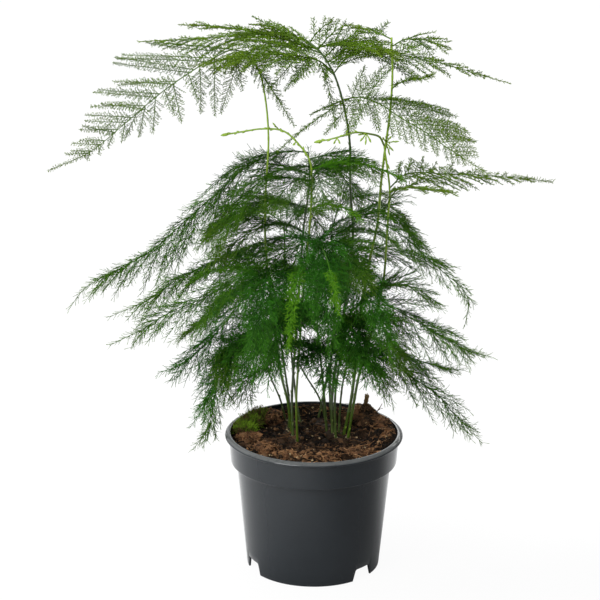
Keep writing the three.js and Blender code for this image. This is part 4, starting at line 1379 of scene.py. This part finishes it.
# %% Inner sprays
ARCH_POINTS = 6
ARCH_TWIG = dict(bare=1, narrowing=1.3)
INNER_SPRAYS = {
    # name: stem, height, direction in degrees, length, climb, drop, and the rest as for a frond
    "dome_left": ("tall_dark", 352, -90, 90, 16, -16, dict(kind="flat", reach=(28, 26), leave=(34, 34))),
    "dome_top": ("tall_dark", 351, -100, 46, 16, -16, dict(kind="flat", reach=(26, 20))),
    "top_bridge": ("tall_dark", 353, 64, 60, 6, 0, dict(kind="flat", reach=(30, 34))),
    "arch_up_low": ("tall_dark", 347, 78, 30, 18, -18,
        dict(kind="flat", tilt=60, reach=(17, 15), but=ARCH_TWIG)),
    "arch_fill": ("tall_dark", 344, 72, 40, 11, -8,
        dict(kind="flat", tilt=50, reach=(22, 20), but=ARCH_TWIG)),
    "arch_up_mid": ("tall_dark", 352, 100, 22, 16, -16,
        dict(kind="flat", tilt=60, reach=(16, 14), but=ARCH_TWIG)),
    "arch_up_high": ("tall_dark", 356, 110, 18, 13, -13,
        dict(kind="flat", tilt=60, reach=(14, 12), but=ARCH_TWIG)),
    "top_front": ("tall_dark", 350, -62, 78, 8, 6,
        dict(kind="flat", tilt=-15, reach=(40, 40), leave=(46, 46))),
    "crest_inner": ("crest_left", 268, -52, 84, 8, 50, dict(kind="layer", reach=(32, 30), leave=(40, 40))),
    "crest_back": ("crest_left", 262, 150, 66, 8, 34, dict(kind="layer", reach=(34, 34), leave=(42, 42))),
    "crest_front": ("crest_left", 273, 10, 60, 5, 12, dict(kind="layer", reach=(38, 38), leave=(50, 50))),
    "crest_low": ("crest_left", 246, -62, 76, 8, 12, dict(kind="layer", reach=(34, 34), leave=(42, 42))),
    "crest_gap": ("crest_left", 264, -25, 60, 6, 8, dict(kind="layer", reach=(30, 34))),
    "crest_under": ("crest_left", 230, -52, 70, 10, 8, dict(kind="layer", reach=(34, 34), leave=(42, 42))),
    "waist_high": ("mid_centre", 227, 100, 60, 8, 6, dict(kind="layer", reach=(20, 20))),
    "waist_out": ("right_low", 181, 70, 62, 24, -10, dict(kind="layer", reach=(30, 30))),
    "heart_back": ("mid_centre", 192, 165, 60, 12, 26, dict(kind="heart", reach=(40, 40), leave=(46, 46))),
    "heart_rear": ("right_arch", 178, 190, 50, 8, 16, dict(kind="heart", reach=(40, 40), leave=(46, 46))),
    "heart_deep": ("mid_centre", 162, 200, 56, 12, 12, dict(kind="heart", reach=(40, 40), leave=(46, 46))),
    "waist_layer": ("mid_centre", 224, 30, 70, 8, 12, dict(kind="layer", reach=(40, 40))),
    "crest_bright": ("young_shoot_left", 280, 88, 62, 5, 8,
        dict(kind="young", reach=(10, 10), leave=(40, 40))),
    "waist_bright": ("young_shoot_left", 254, 56, 40, 6, 2,
        dict(kind="young", reach=(11, 11), leave=(40, 40))),
    "front_shoot": ("young_shoot_left", 216, -6, 104, 10, 24,
        dict(kind="young", reach=(9, 9), leave=(40, 40), but=dict(bare=40))),
    "front_tip": ("mid_centre", 226, 8, 112, 10, 12,
        dict(kind="young", reach=(9, 9), leave=(40, 40), but=dict(bare=76))),
    "shoulder_bright": ("mid_left", 190, -74, 60, 14, -4, dict(kind="young", reach=(13, 13), leave=(40, 40))),
    "heart_left": ("mid_centre", 162, -35, 90, 18, 16, dict(kind="heart", reach=(42, 42))),
    "heart_right": ("mid_centre", 166, 25, 88, 18, 16, dict(kind="heart", reach=(42, 42))),
    "heart_front": ("crest_left", 172, -12, 92, 16, 20, dict(kind="heart", reach=(42, 42))),
    "heart_low": ("mid_centre", 148, 4, 80, 14, 2, dict(kind="heart", reach=(42, 42))),
    "heart_mid": ("mid_centre", 200, -20, 84, 14, 40, dict(kind="layer", finish="shade", reach=(42, 42))),
    "skirt_left": ("mid_left", 158, -22, 70, 10, -2, dict(kind="heart", reach=(36, 36))),
    "skirt_mid": ("mid_centre", 150, -10, 58, 12, -4, dict(kind="heart", reach=(34, 34))),
    "skirt_right": ("right_low", 150, 24, 62, 12, -6, dict(kind="heart", reach=(36, 36))),
    "skirt_edge_left": ("low_left", 124, -24, 48, 8, 8, dict(kind="plume", reach=(36, 36))),
    "skirt_edge_right": ("right_lowest", 140, 32, 50, 8, 8, dict(kind="plume", reach=(36, 36))),
    "heart_hole": ("mid_centre", 160, 200, 46, 5, 8, dict(kind="heart", reach=(30, 30), leave=(46, 46))),
    "heart_gap": ("right_low", 172, 6, 70, 12, 10, dict(kind="heart", reach=(36, 36), leave=(46, 46))),
    "waist_left": ("low_left", 138, -20, 78, 20, 0, dict(kind="plume", reach=(38, 38))),
    "waist_right": ("right_low", 170, 30, 74, 16, 12, dict(kind="plume", reach=(38, 38))),
}


def arching_points(start, direction, length, climb, drop):
    """Points of a spray that climbs away from its stem and bends down under its own weight."""
    turn = math.radians(direction)
    out = np.array([math.sin(turn), -math.cos(turn), 0.0])
    share = np.linspace(0, 1, ARCH_POINTS)[:, None]
    slope = 2 * (climb + math.sqrt(climb**2 + climb * drop))
    return start + out * length * share + UP * (slope * share - (slope + drop) * share**2)


def at_height(path, height):
    return np.array([np.interp(height, path[:, 2], path[:, k]) for k in range(3)])


print("inner sprays", len(INNER_SPRAYS))

# %% [markdown]
# Needle finishes. The young top is a light yellow green, the old fronds a deep saturated green, and the
# newest sprays almost lime. The shaded needles are a darker copy of the old green, painted shade for the
# thick of the plant and some lower sprays. Asparagus needles are dull, so they get hardly any gloss, and
# most of their life comes from the wide spread of tints from one needle to the next.

# %% Needle finishes
def needle_finish(name, deep, fresh, tip, tip_share):
    finish = Finish(name, Specular_IOR_Level=0.08)
    age = finish.age_colour(deep, fresh, tip, tip_share)
    finish.spread("Roughness", age, 0.5, 0.62)
    return finish


NEEDLE_COLOURS = {
    # kind: name, deep, fresh and tip colour, and how much of the tip colour shows
    "flat": ("young_top_needles", (0.035, 0.085, 0.004), (0.14, 0.25, 0.01), (0.14, 0.2, 0.015), 0.6),
    "plume": ("old_dark_needles", (0.006, 0.032, 0.002), (0.068, 0.2, 0.009), (0.1, 0.18, 0.012), 0.6),
    # painted shade: a darker copy of the old green, for the thick of the plant and some lower sprays
    "shade": ("shaded_needles", (0.002, 0.018, 0.002), (0.038, 0.19, 0.01), (0.06, 0.18, 0.01), 0.5),
    "young": ("newest_needles", (0.03, 0.12, 0.004), (0.085, 0.25, 0.006), (0.12, 0.26, 0.01), 0.4),
}
FROND_SLOTS = {"flat": "frond_upper", "plume": "frond_lower", "shade": "frond_lower", "young": "frond_young"}
FINISH_OF_KIND = {"feather": "flat", "layer": "plume", "heart": "shade"}
needle_finishes = {kind: needle_finish(*values) for kind, values in NEEDLE_COLOURS.items()}
print("needle finishes", len(needle_finishes))

# %% [markdown]
# Growing them. Every frond has a seed of its own, so changing one leaves the others as they were.

# %% Grow the fronds
FROND_SEED = 200
INNER_SEED = 300


def settle_spray(name, frond, seed, *nodes):
    growth = Growth()
    grow_frond(growth, frond, np.random.default_rng(seed))
    piece = growth.piece(name)
    finish_kind = frond.get("finish", FINISH_OF_KIND.get(frond["kind"], frond["kind"]))
    settle(piece, needle_finishes[finish_kind], FROND_SLOTS[finish_kind], *nodes)
    return len(piece.data.polygons)


needle_faces = 0
for seed, (frond_name, frond) in enumerate(FRONDS.items(), FROND_SEED):
    needle_faces += settle_spray("spray_" + frond_name, frond, seed, "frond_" + frond_name)
for seed, (frond_name, (stem, height, *arch, values)) in enumerate(INNER_SPRAYS.items(), INNER_SEED):
    start = at_height(stem_paths[stem], height)
    frond = dict(values, points=arching_points(start, *arch))
    needle_faces += settle_spray("inner_" + frond_name, frond, seed)
print("needle faces", needle_faces)

# %% [markdown]
# The soil: black-brown peat that has sunk a little below the rim. It is one closed body, turned like a
# wheel, whose top rings follow a height: a bank at the right and the back, a swelling at the left, and clods
# from fractal noise. Its rings run outwards and down, not up as a stem's do, so their triangles are turned
# over.

# %% Soil body
SOIL_LEVEL = 87.6
SOIL_BOTTOM = FLOOR_UNDERSIDE + WALL + 0.2
SOIL_RINGS = 76
SOIL_SECTORS = 210
BANK_HEIGHT = 5.4
SWELL_HEIGHT = 3.0
CLOD_HEIGHT = 2.4
CRUMBLE_HEIGHT = 1.6
WALL_GAP = 0.15
TURNED_OVER = [0, 2, 1]


def ramp(value, low, high):
    share = np.clip((value - low) / (high - low), 0, 1)
    return share * share * (3 - 2 * share)


def rough(points, scale, octaves=4):
    """Fractal noise at each point, about -1 to 1."""
    return np.array([noise.fractal(Vector(p) * scale, 0.8, 2.2, octaves) for p in points])


def ground_height(x, y):
    right_bank = BANK_HEIGHT * ramp(x, 26, 50) * ramp(y, -38, -8)
    back_bank = BANK_HEIGHT * ramp(np.hypot(x, y), 39, 52) * ramp(y, -5, 25) * ramp(x, -36, -16)
    bank = np.maximum(right_bank, back_bank)
    swell = SWELL_HEIGHT * np.exp(-((x + 45) ** 2 + (y - 2) ** 2) / 160)
    level = SOIL_LEVEL + bank + swell + 0.5 * np.sin(0.31 * x + 1) * np.cos(0.27 * y - 0.5)
    places = np.stack([x, y, np.zeros_like(x)], -1)
    clods = CLOD_HEIGHT * rough(places, 0.13)
    clods += CRUMBLE_HEIGHT * (0.35 - np.abs(rough(places + 50, 0.34, 5)))
    return level + clods * ramp(58 - np.hypot(x, y), 0, 6)


def soil_body():
    turns = np.arange(SOIL_SECTORS) / SOIL_SECTORS * 2 * math.pi
    edge = inner_radius(SOIL_LEVEL) - WALL_GAP
    rings = []
    for share in (np.arange(SOIL_RINGS) + 1) / SOIL_RINGS:
        x, y = edge * share * np.cos(turns), edge * share * np.sin(turns)
        rings.append(np.stack([x, y, ground_height(x, y)], -1))
    out = (inner_radius(rings[-1][:, 2]) - WALL_GAP) / edge
    rings[-1][:, :2] *= out[:, None]
    for z in (COLLAR_BOTTOM + WALL, COLLAR_BOTTOM - SHOULDER_DROP, SOIL_BOTTOM):
        radius = inner_radius(z) - WALL_GAP - 0.1
        rings.append(np.stack([radius * np.cos(turns), radius * np.sin(turns), np.full(SOIL_SECTORS, z)], -1))
    centre = np.zeros(1)
    middle = [[0.0, 0.0, float(ground_height(centre, centre)[0])], [0.0, 0.0, SOIL_BOTTOM]]
    points = np.concatenate(rings + [np.array(middle)])
    triangles = ring_triangles(len(rings), SOIL_SECTORS)[:, TURNED_OVER]
    return triangle_piece("peat_soil", points, triangles, smooth=True)


# %% [markdown]
# Peat is dark and matt. Its colour drifts between two tones, with specks of straw-coloured fibre. One recipe
# makes three kinds: black for the soil, brown for the mound and rust for the fibrous clods.

# %% Peat finish
def peat_finish(name, dark, light, speck, scale):
    finish = Finish(name, Roughness=0.95, Specular_IOR_Level=0.2)
    base = finish.group("tone", Dark=dark, Light=light, Scale=scale, Low=0.4, High=0.68)
    specks = finish.group("tone", Dark=(0, 0, 0), Light=(1, 1, 1), Scale=scale * 9, Low=0.56, High=0.72)
    mixed = mix_colours(finish.tree, specks.outputs["Mask"], base.outputs["Color"], (*speck, 1))
    finish.feed("Base Color", mixed)
    finish.bump(finish.group("grain", Scale=1500.0, Coarse=0.4), 0.9, 0.0012)
    return finish


soil = soil_body()
soil_tones = (0.003, 0.0022, 0.0016), (0.03, 0.015, 0.007), (0.16, 0.08, 0.035)
black_peat = peat_finish("black_peat", *soil_tones, 110)
settle(soil, black_peat, "soil", "potting_soil")
print("soil faces", len(soil.data.polygons))

# %% [markdown]
# Lumps rise out of the soil: the peat mound, fibrous clods, the mossy corner and the two crowns, which are
# the woody hearts that the stems spring from. Each is a ball with its radius roughened by noise, most of it
# buried.

# %% Lumps
CROWN_LUMPS = {
    # position and radii in mm
    "crown_left": [(-13, 3, 86, 6, 8, 3.4), (-15, 14, 86, 6, 8, 3.6), (-15, 25, 86, 7, 8, 3.2),
        (-16, 35, 86, 8, 6, 3)],
    "crown_right": [(19, 5, 86, 7.5, 6, 3.4), (14, 12, 86, 8, 8, 3.8), (9, 24, 86, 6, 8, 3.2),
        (4, 36, 86, 6, 9, 3)],
}
MOSS_LUMPS = [(-49, 14, 89, 9, 9, 4), (-46, 25, 89.5, 10, 9, 4.6), (-40, 37, 89.5, 9, 9, 5.4)]
MOUND_LUMPS = [(33, 38, 90, 14, 11, 9.2), (42, 27, 89.5, 11, 11, 6)]
CLODS = [(-43, -2, 88, 9, 7, 5.4), (-32, -17, 87.5, 8, 7, 4.8), (-17, -29, 87, 7, 6, 4),
    (9, -32, 87, 8, 6, 4.6), (30, -24, 88, 9, 7, 3.8), (-29, 36, 89, 9, 8, 5.6), (50, 4, 90, 6, 12, 4.4),
    (47, 20, 91, 7, 9, 5)]
LUMP_RINGS = 19
LUMP_SECTORS = 34


def grow_lump(growth, lump, roughness, tint, along):
    """One rough ball. What would push through the pot's wall is drawn back to it."""
    x, y, z, *radii = lump
    down = (np.arange(1, LUMP_RINGS + 1) / (LUMP_RINGS + 1) * math.pi)[:, None]
    turns = (np.arange(LUMP_SECTORS) / LUMP_SECTORS * 2 * math.pi)[None]
    ball = [np.sin(down) * np.cos(turns), np.sin(down) * np.sin(turns), np.cos(down) + 0 * turns]
    ball = np.stack(ball, -1).reshape(-1, 3)
    ball = np.concatenate([ball, [[0, 0, 1], [0, 0, -1]]])
    points = np.array([x, y, z]) + ball * radii
    swell = 1 + roughness * (rough(points, 0.16) + 0.8 * rough(points + 30, 0.55, 3))
    points = np.array([x, y, z]) + ball * radii * swell[:, None]
    from_axis = np.hypot(points[:, 0], points[:, 1])
    room = inner_radius(points[:, 2]) - WALL_GAP
    points[:, :2] *= np.minimum(1, room / np.maximum(from_axis, 1e-6))[:, None]
    growth.add(points, ring_triangles(LUMP_RINGS, LUMP_SECTORS)[:, TURNED_OVER], tint, along)


def top_height(x, y, lumps):
    """The highest of the soil and the lumps at each place."""
    height = ground_height(x, y)
    for cx, cy, cz, rx, ry, rz in lumps:
        inside = 1 - ((x - cx) / rx) ** 2 - ((y - cy) / ry) ** 2
        height = np.maximum(height, np.where(inside > 0, cz + rz * np.sqrt(np.maximum(inside, 0)), 0))
    return height


growth = Growth()
for lump in MOUND_LUMPS:
    grow_lump(growth, lump, roughness=0.16, tint=0.5, along=0.2)
brown_peat = peat_finish("brown_peat", (0.01, 0.006, 0.004), (0.12, 0.06, 0.03), (0.4, 0.25, 0.13), 170)
settle(growth.piece("rough_peat_mound", smooth=True), brown_peat, "peat", "peat_mound")
growth = Growth()
for lump in CLODS:
    grow_lump(growth, lump, roughness=0.24, tint=0.5, along=0.2)
rust_peat = peat_finish("rust_peat", (0.016, 0.008, 0.004), (0.23, 0.105, 0.05), (0.6, 0.38, 0.2), 190)
settle(growth.piece("fibrous_clods", smooth=True), rust_peat, "peat")
print("lumps", len(MOUND_LUMPS) + len(CLODS))

# %% [markdown]
# The crowns are knotty and dark, sunk in the peat. Where each stem leaves, old bud scales stand around it
# like small pale teeth.

# %% Crowns
CROWN_SEED = 160
CROWN_REACH = 9
KNOT_REACH = 2.0


def wood_finish(name, deep, fresh, tip):
    finish = Finish(name, Roughness=0.8, Specular_IOR_Level=0.25)
    finish.age_colour(deep, fresh, tip, 1.0)
    finish.bump(finish.group("grain", Scale=1800.0, Coarse=0.3), 0.6, 0.0006)
    return finish


def stems_near(lumps):
    """The stems that leave the soil beside one of the lumps."""
    feet = {name: path[1][:2] for name, path in stem_paths.items()}
    return [name for name, foot in feet.items() if any(math.dist(foot, n[:2]) < CROWN_REACH for n in lumps)]


crown_wood = wood_finish("knotty_crown", (0.01, 0.007, 0.004), (0.05, 0.028, 0.013), (0.4, 0.36, 0.2))
for seed, (crown_name, crown_lumps) in enumerate(CROWN_LUMPS.items(), CROWN_SEED):
    growth = Growth()
    rng = np.random.default_rng(seed)
    for lump in crown_lumps:
        grow_lump(growth, lump, roughness=0.12, tint=rng.uniform(0.2, 0.6), along=0.2)
    near = stems_near(crown_lumps)
    for stem_name in near:
        knots = rng.integers(4, 7)
        for turn in rng.uniform(0, 2 * math.pi, knots):
            out = np.array([math.cos(turn), math.sin(turn), 0.0])
            foot = stem_paths[stem_name][1] + out * rng.uniform(0.6, KNOT_REACH) + UP * rng.uniform(-0.3, 1.4)
            aim = UP + out * rng.uniform(0.1, 0.8)
            length, thick, age = rng.uniform(1.2, 2.6), rng.uniform(0.35, 0.7), rng.uniform(0.5, 1)
            grow_bud(growth, foot, aim, length, thick, 0.6, age)
    settle(growth.piece("knotty_" + crown_name, smooth=True), crown_wood, "crown", crown_name)
    print(crown_name, "stems in it", len(near))

# %% [markdown]
# What lies on the peat: crumbs, a few pale chips and bent fibres. A crumb is a ball of twenty faces with its
# corners pulled in and out, and a fibre is a bent tube with three sides. A particle system could scatter
# them too, but here each is set on the surface that is there, whether soil, clod or mound.

# %% Crumbs and fibres
GOLDEN = (1 + math.sqrt(5)) / 2
CRUMB_CORNERS = unit([
    (-1, GOLDEN, 0), (1, GOLDEN, 0), (-1, -GOLDEN, 0), (1, -GOLDEN, 0), (0, -1, GOLDEN), (0, 1, GOLDEN),
    (0, -1, -GOLDEN), (0, 1, -GOLDEN), (GOLDEN, 0, -1), (GOLDEN, 0, 1), (-GOLDEN, 0, -1), (-GOLDEN, 0, 1),
])
CRUMB_FACES = np.array([
    (0, 11, 5), (0, 5, 1), (0, 1, 7), (0, 7, 10), (0, 10, 11), (1, 5, 9), (5, 11, 4), (11, 10, 2), (10, 7, 6),
    (7, 1, 8), (3, 9, 4), (3, 4, 2), (3, 2, 6), (3, 6, 8), (3, 8, 9), (4, 9, 5), (2, 4, 11), (6, 2, 10),
    (8, 6, 7), (9, 8, 1),
])


def scatter(count, lumps, rng, margin=2.0):
    """Places on the surface of the pot's filling."""
    reach = inner_radius(SOIL_LEVEL) - margin
    radius = reach * np.sqrt(rng.uniform(0, 1, count))
    turn = rng.uniform(0, 2 * math.pi, count)
    x, y = radius * np.cos(turn), radius * np.sin(turn)
    return np.stack([x, y, top_height(x, y, lumps)], -1)


def grow_crumbs(growth, places, sizes, tint, along, rng):
    count, corners = len(places), len(CRUMB_CORNERS)
    ragged = rng.uniform(0.6, 1.25, (count, corners, 1))
    squash = rng.uniform(0.5, 1.2, (count, 1, 3))
    points = places[:, None] + CRUMB_CORNERS[None] * ragged * squash * sizes[:, None, None]
    triangles = CRUMB_FACES[None] + corners * np.arange(count)[:, None, None]
    tint, along = np.repeat(tint, corners), np.repeat(along, corners)
    growth.add(points.reshape(-1, 3), triangles.reshape(-1, 3), tint, along)


def grow_fibres(growth, places, lengths, lift, tint, along, rng):
    for place, length, shade, fade in zip(places, lengths, tint, along):
        turn = rng.uniform(0, 2 * math.pi)
        out = np.array([math.cos(turn), math.sin(turn), rng.uniform(-0.1, lift)])
        bend = np.array([-math.sin(turn), math.cos(turn), rng.uniform(-0.2, 0.6)]) * rng.uniform(-0.45, 0.45)
        share = np.linspace(-0.5, 0.5, 6)[:, None]
        path = place + length * (unit(out) * share + bend * (0.25 - share**2)) + UP * 0.25
        tube(growth, path, rng.uniform(0.09, 0.24), 3, shade, fade)


def litter_tint_with_painted_shade(places, rng):
    """Pale towards the front, and a painted shade: pale where the peat lies high and dark in the hollows."""
    # Painted shade: crumbs and fibres low in the hollows are darkened, and those lying high are lightened.
    raised_above_painted_shade = ramp(places[:, 2] - SOIL_LEVEL, -1.5, 4)
    front = ramp(-places[:, 1], -5, 40)
    return np.clip((0.05 + 0.5 * raised_above_painted_shade + 0.4 * front) * rng.uniform(0.1, 1.9, len(places)), 0, 1)


def lump_surface(lumps, count, rng):
    """Places on the upper side of some lumps, and the directions that stand out from it."""
    pick = rng.integers(0, len(lumps), count)
    chosen = np.array(lumps, float)[pick]
    ball = unit(rng.normal(0, 1, (count, 3)))
    ball[:, 2] = np.abs(ball[:, 2])
    return chosen[:, :3] + ball * chosen[:, 3:], unit(ball / chosen[:, 3:])


# %% [markdown]
# Scattering the litter. It is lighter towards the front, and it carries a painted shade: lighter where the
# peat lies high and darker in the hollows. Crumbs are sunk in by a part of their size, so none of them
# floats. A coat of shorter fibres grips the clods and the mound.

# %% Scatter the litter
LITTER_SEED = 180
CRUMBS = 700
CHIPS = 60
FIBRES = 640
CLOD_FIBRES = 900
rng = np.random.default_rng(LITTER_SEED)
growth = Growth()
bedding = MOUND_LUMPS + CLODS + CROWN_LUMPS["crown_left"] + CROWN_LUMPS["crown_right"]
places = scatter(CRUMBS, bedding, rng)
sizes = 0.6 + 2.6 * rng.uniform(0, 1, CRUMBS) ** 2.6
places[:, 2] -= sizes * 0.25
tint = litter_tint_with_painted_shade(places, rng)
grow_crumbs(growth, places, sizes, 0.7 * tint, rng.uniform(0, 0.35, CRUMBS), rng)
chips = scatter(CHIPS, bedding, rng, margin=4.0)
sizes = rng.uniform(0.5, 1.3, CHIPS)
grow_crumbs(growth, chips, sizes, np.full(CHIPS, 0.9), rng.uniform(0.6, 1.0, CHIPS), rng)
places = scatter(FIBRES, bedding, rng, margin=5.0)
tint = litter_tint_with_painted_shade(places, rng)
lengths = rng.uniform(3, 11, FIBRES)
fade = 0.6 * tint * rng.uniform(0.3, 1, FIBRES)
grow_fibres(growth, places, lengths, 0.35, tint, fade, rng)
places, _ = lump_surface(CLODS + MOUND_LUMPS, CLOD_FIBRES, rng)
room = (inner_radius(places[:, 2]) - 3) / np.hypot(places[:, 0], places[:, 1])
places[:, :2] *= np.minimum(1, room)[:, None]
tint = rng.uniform(0.0, 1, CLOD_FIBRES) ** 0.7
lengths = rng.uniform(2, 7, CLOD_FIBRES)
grow_fibres(growth, places, lengths, 0.3, tint, 0.5 * tint, rng)
litter = growth.piece("peat_litter")
litter_finish = wood_finish("fibrous_litter", (0.007, 0.0045, 0.003), (0.48, 0.24, 0.105), (0.65, 0.5, 0.28))
settle(litter, litter_finish, "peat")
print("litter faces", len(litter.data.polygons))

# %% [markdown]
# Moss: three low cushions against the rim, covered in tiny leaves that stand out from the cushion. It is
# vivid where it is wet, at the front and near the rim, and brown towards the back, where it dries.

# %% Moss
MOSS_SEED = 190
MOSS_LEAVES = 4200
LEAF_WIDTH = 0.36
rng = np.random.default_rng(MOSS_SEED)
growth = Growth()
for lump in MOSS_LUMPS:
    grow_lump(growth, lump, roughness=0.22, tint=0.0, along=0.0)
places, out = lump_surface(MOSS_LUMPS, MOSS_LEAVES, rng)
keep = np.hypot(places[:, 0], places[:, 1]) < inner_radius(places[:, 2]) - 0.6
places, out = places[keep], out[keep]
wet = ramp(-places[:, 1] - 0.5 * places[:, 0], -18, 12)
patches = 0.5 + 1.1 * rough(places, 0.16, 3)
fresh = np.clip((0.2 + 0.9 * wet) * patches + rng.normal(0.1, 0.28, len(places)), 0, 1)
leaf = unit(out + rng.normal(0, 0.7, places.shape) + UP * 0.4)
long = rng.uniform(1.6, 4.4, len(places))
slivers(growth, places, leaf, long, LEAF_WIDTH, fresh, 1 - np.clip(fresh + 0.2, 0, 1))
moss = growth.piece("moss_cushions")
moss_finish = wood_finish("living_moss", (0.018, 0.02, 0.005), (0.3, 0.5, 0.035), (0.2, 0.12, 0.05))
settle(moss, moss_finish, "moss", "moss_patch")
print("moss faces", len(moss.data.polygons))

# %% [markdown]
# Two dry remains stick out of the mound: the stub of an old stem, torn off at the top, and a thin forked
# twig.

# %% Stub and twig
STUB_SEED = 195
REMAINS_STEP = 0.8
growth = Growth()
rng = np.random.default_rng(STUB_SEED)
stub_points = [(35, 39, 95), (35.4, 39.5, 98), (36.2, 40.4, 102), (36.7, 40.9, 105)]
stub_path = smooth_path(stub_points, REMAINS_STEP)
steps = len(stub_path)
stub_radii = 1.5 + 0.15 * np.sin(np.arange(steps) * 1.7)
tube(growth, stub_path, stub_radii, 12, 0.6, np.linspace(0.2, 0.7, steps))
for turn in np.arange(9) * 0.7:
    out = np.array([math.cos(turn), math.sin(turn), 0.0])
    grow_bud(growth, stub_path[-2] + out, UP + out * 0.15, rng.uniform(1.2, 2.6), 0.45, 0.8, 0.9)
dry_wood = wood_finish("dry_stem_wood", (0.05, 0.025, 0.01), (0.2, 0.11, 0.045), (0.36, 0.25, 0.12))
settle(growth.piece("torn_stem_stub"), dry_wood, "dry_wood", "stem_stub")

growth = Growth()
twig_points = [(42, 33, 93), (43.6, 33.8, 96), (45.6, 35, 98.6), (47, 36, 101)]
twig_path = smooth_path(twig_points, REMAINS_STEP)
tube(growth, twig_path, np.linspace(0.5, 0.18, len(twig_path)), 6, 0.4, 0.3)
fork = [twig_path[5], twig_path[5] + (1.6, -0.8, 1.5), twig_path[5] + (3.6, -1.2, 2.2)]
tube(growth, fork, (0.25, 0.2, 0.12), 5, 0.4, 0.4)
settle(growth.piece("forked_dry_twig"), dry_wood, "dry_wood", "dry_twig")
print("stub and twig steps", steps, len(twig_path))

# %% [markdown]
# The measured boxes are what the size rule looks at: the construction model's box as it was loaded, and the
# finished model's box.

# %% Measure the sizes
visual_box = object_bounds()
sizes = {
    "cad": [[float(v) for v in corner] for corner in cad_box],
    "visual": [[float(v) for v in corner] for corner in visual_box],
}
print("visual box", [[round(v, 4) for v in corner] for corner in visual_box])
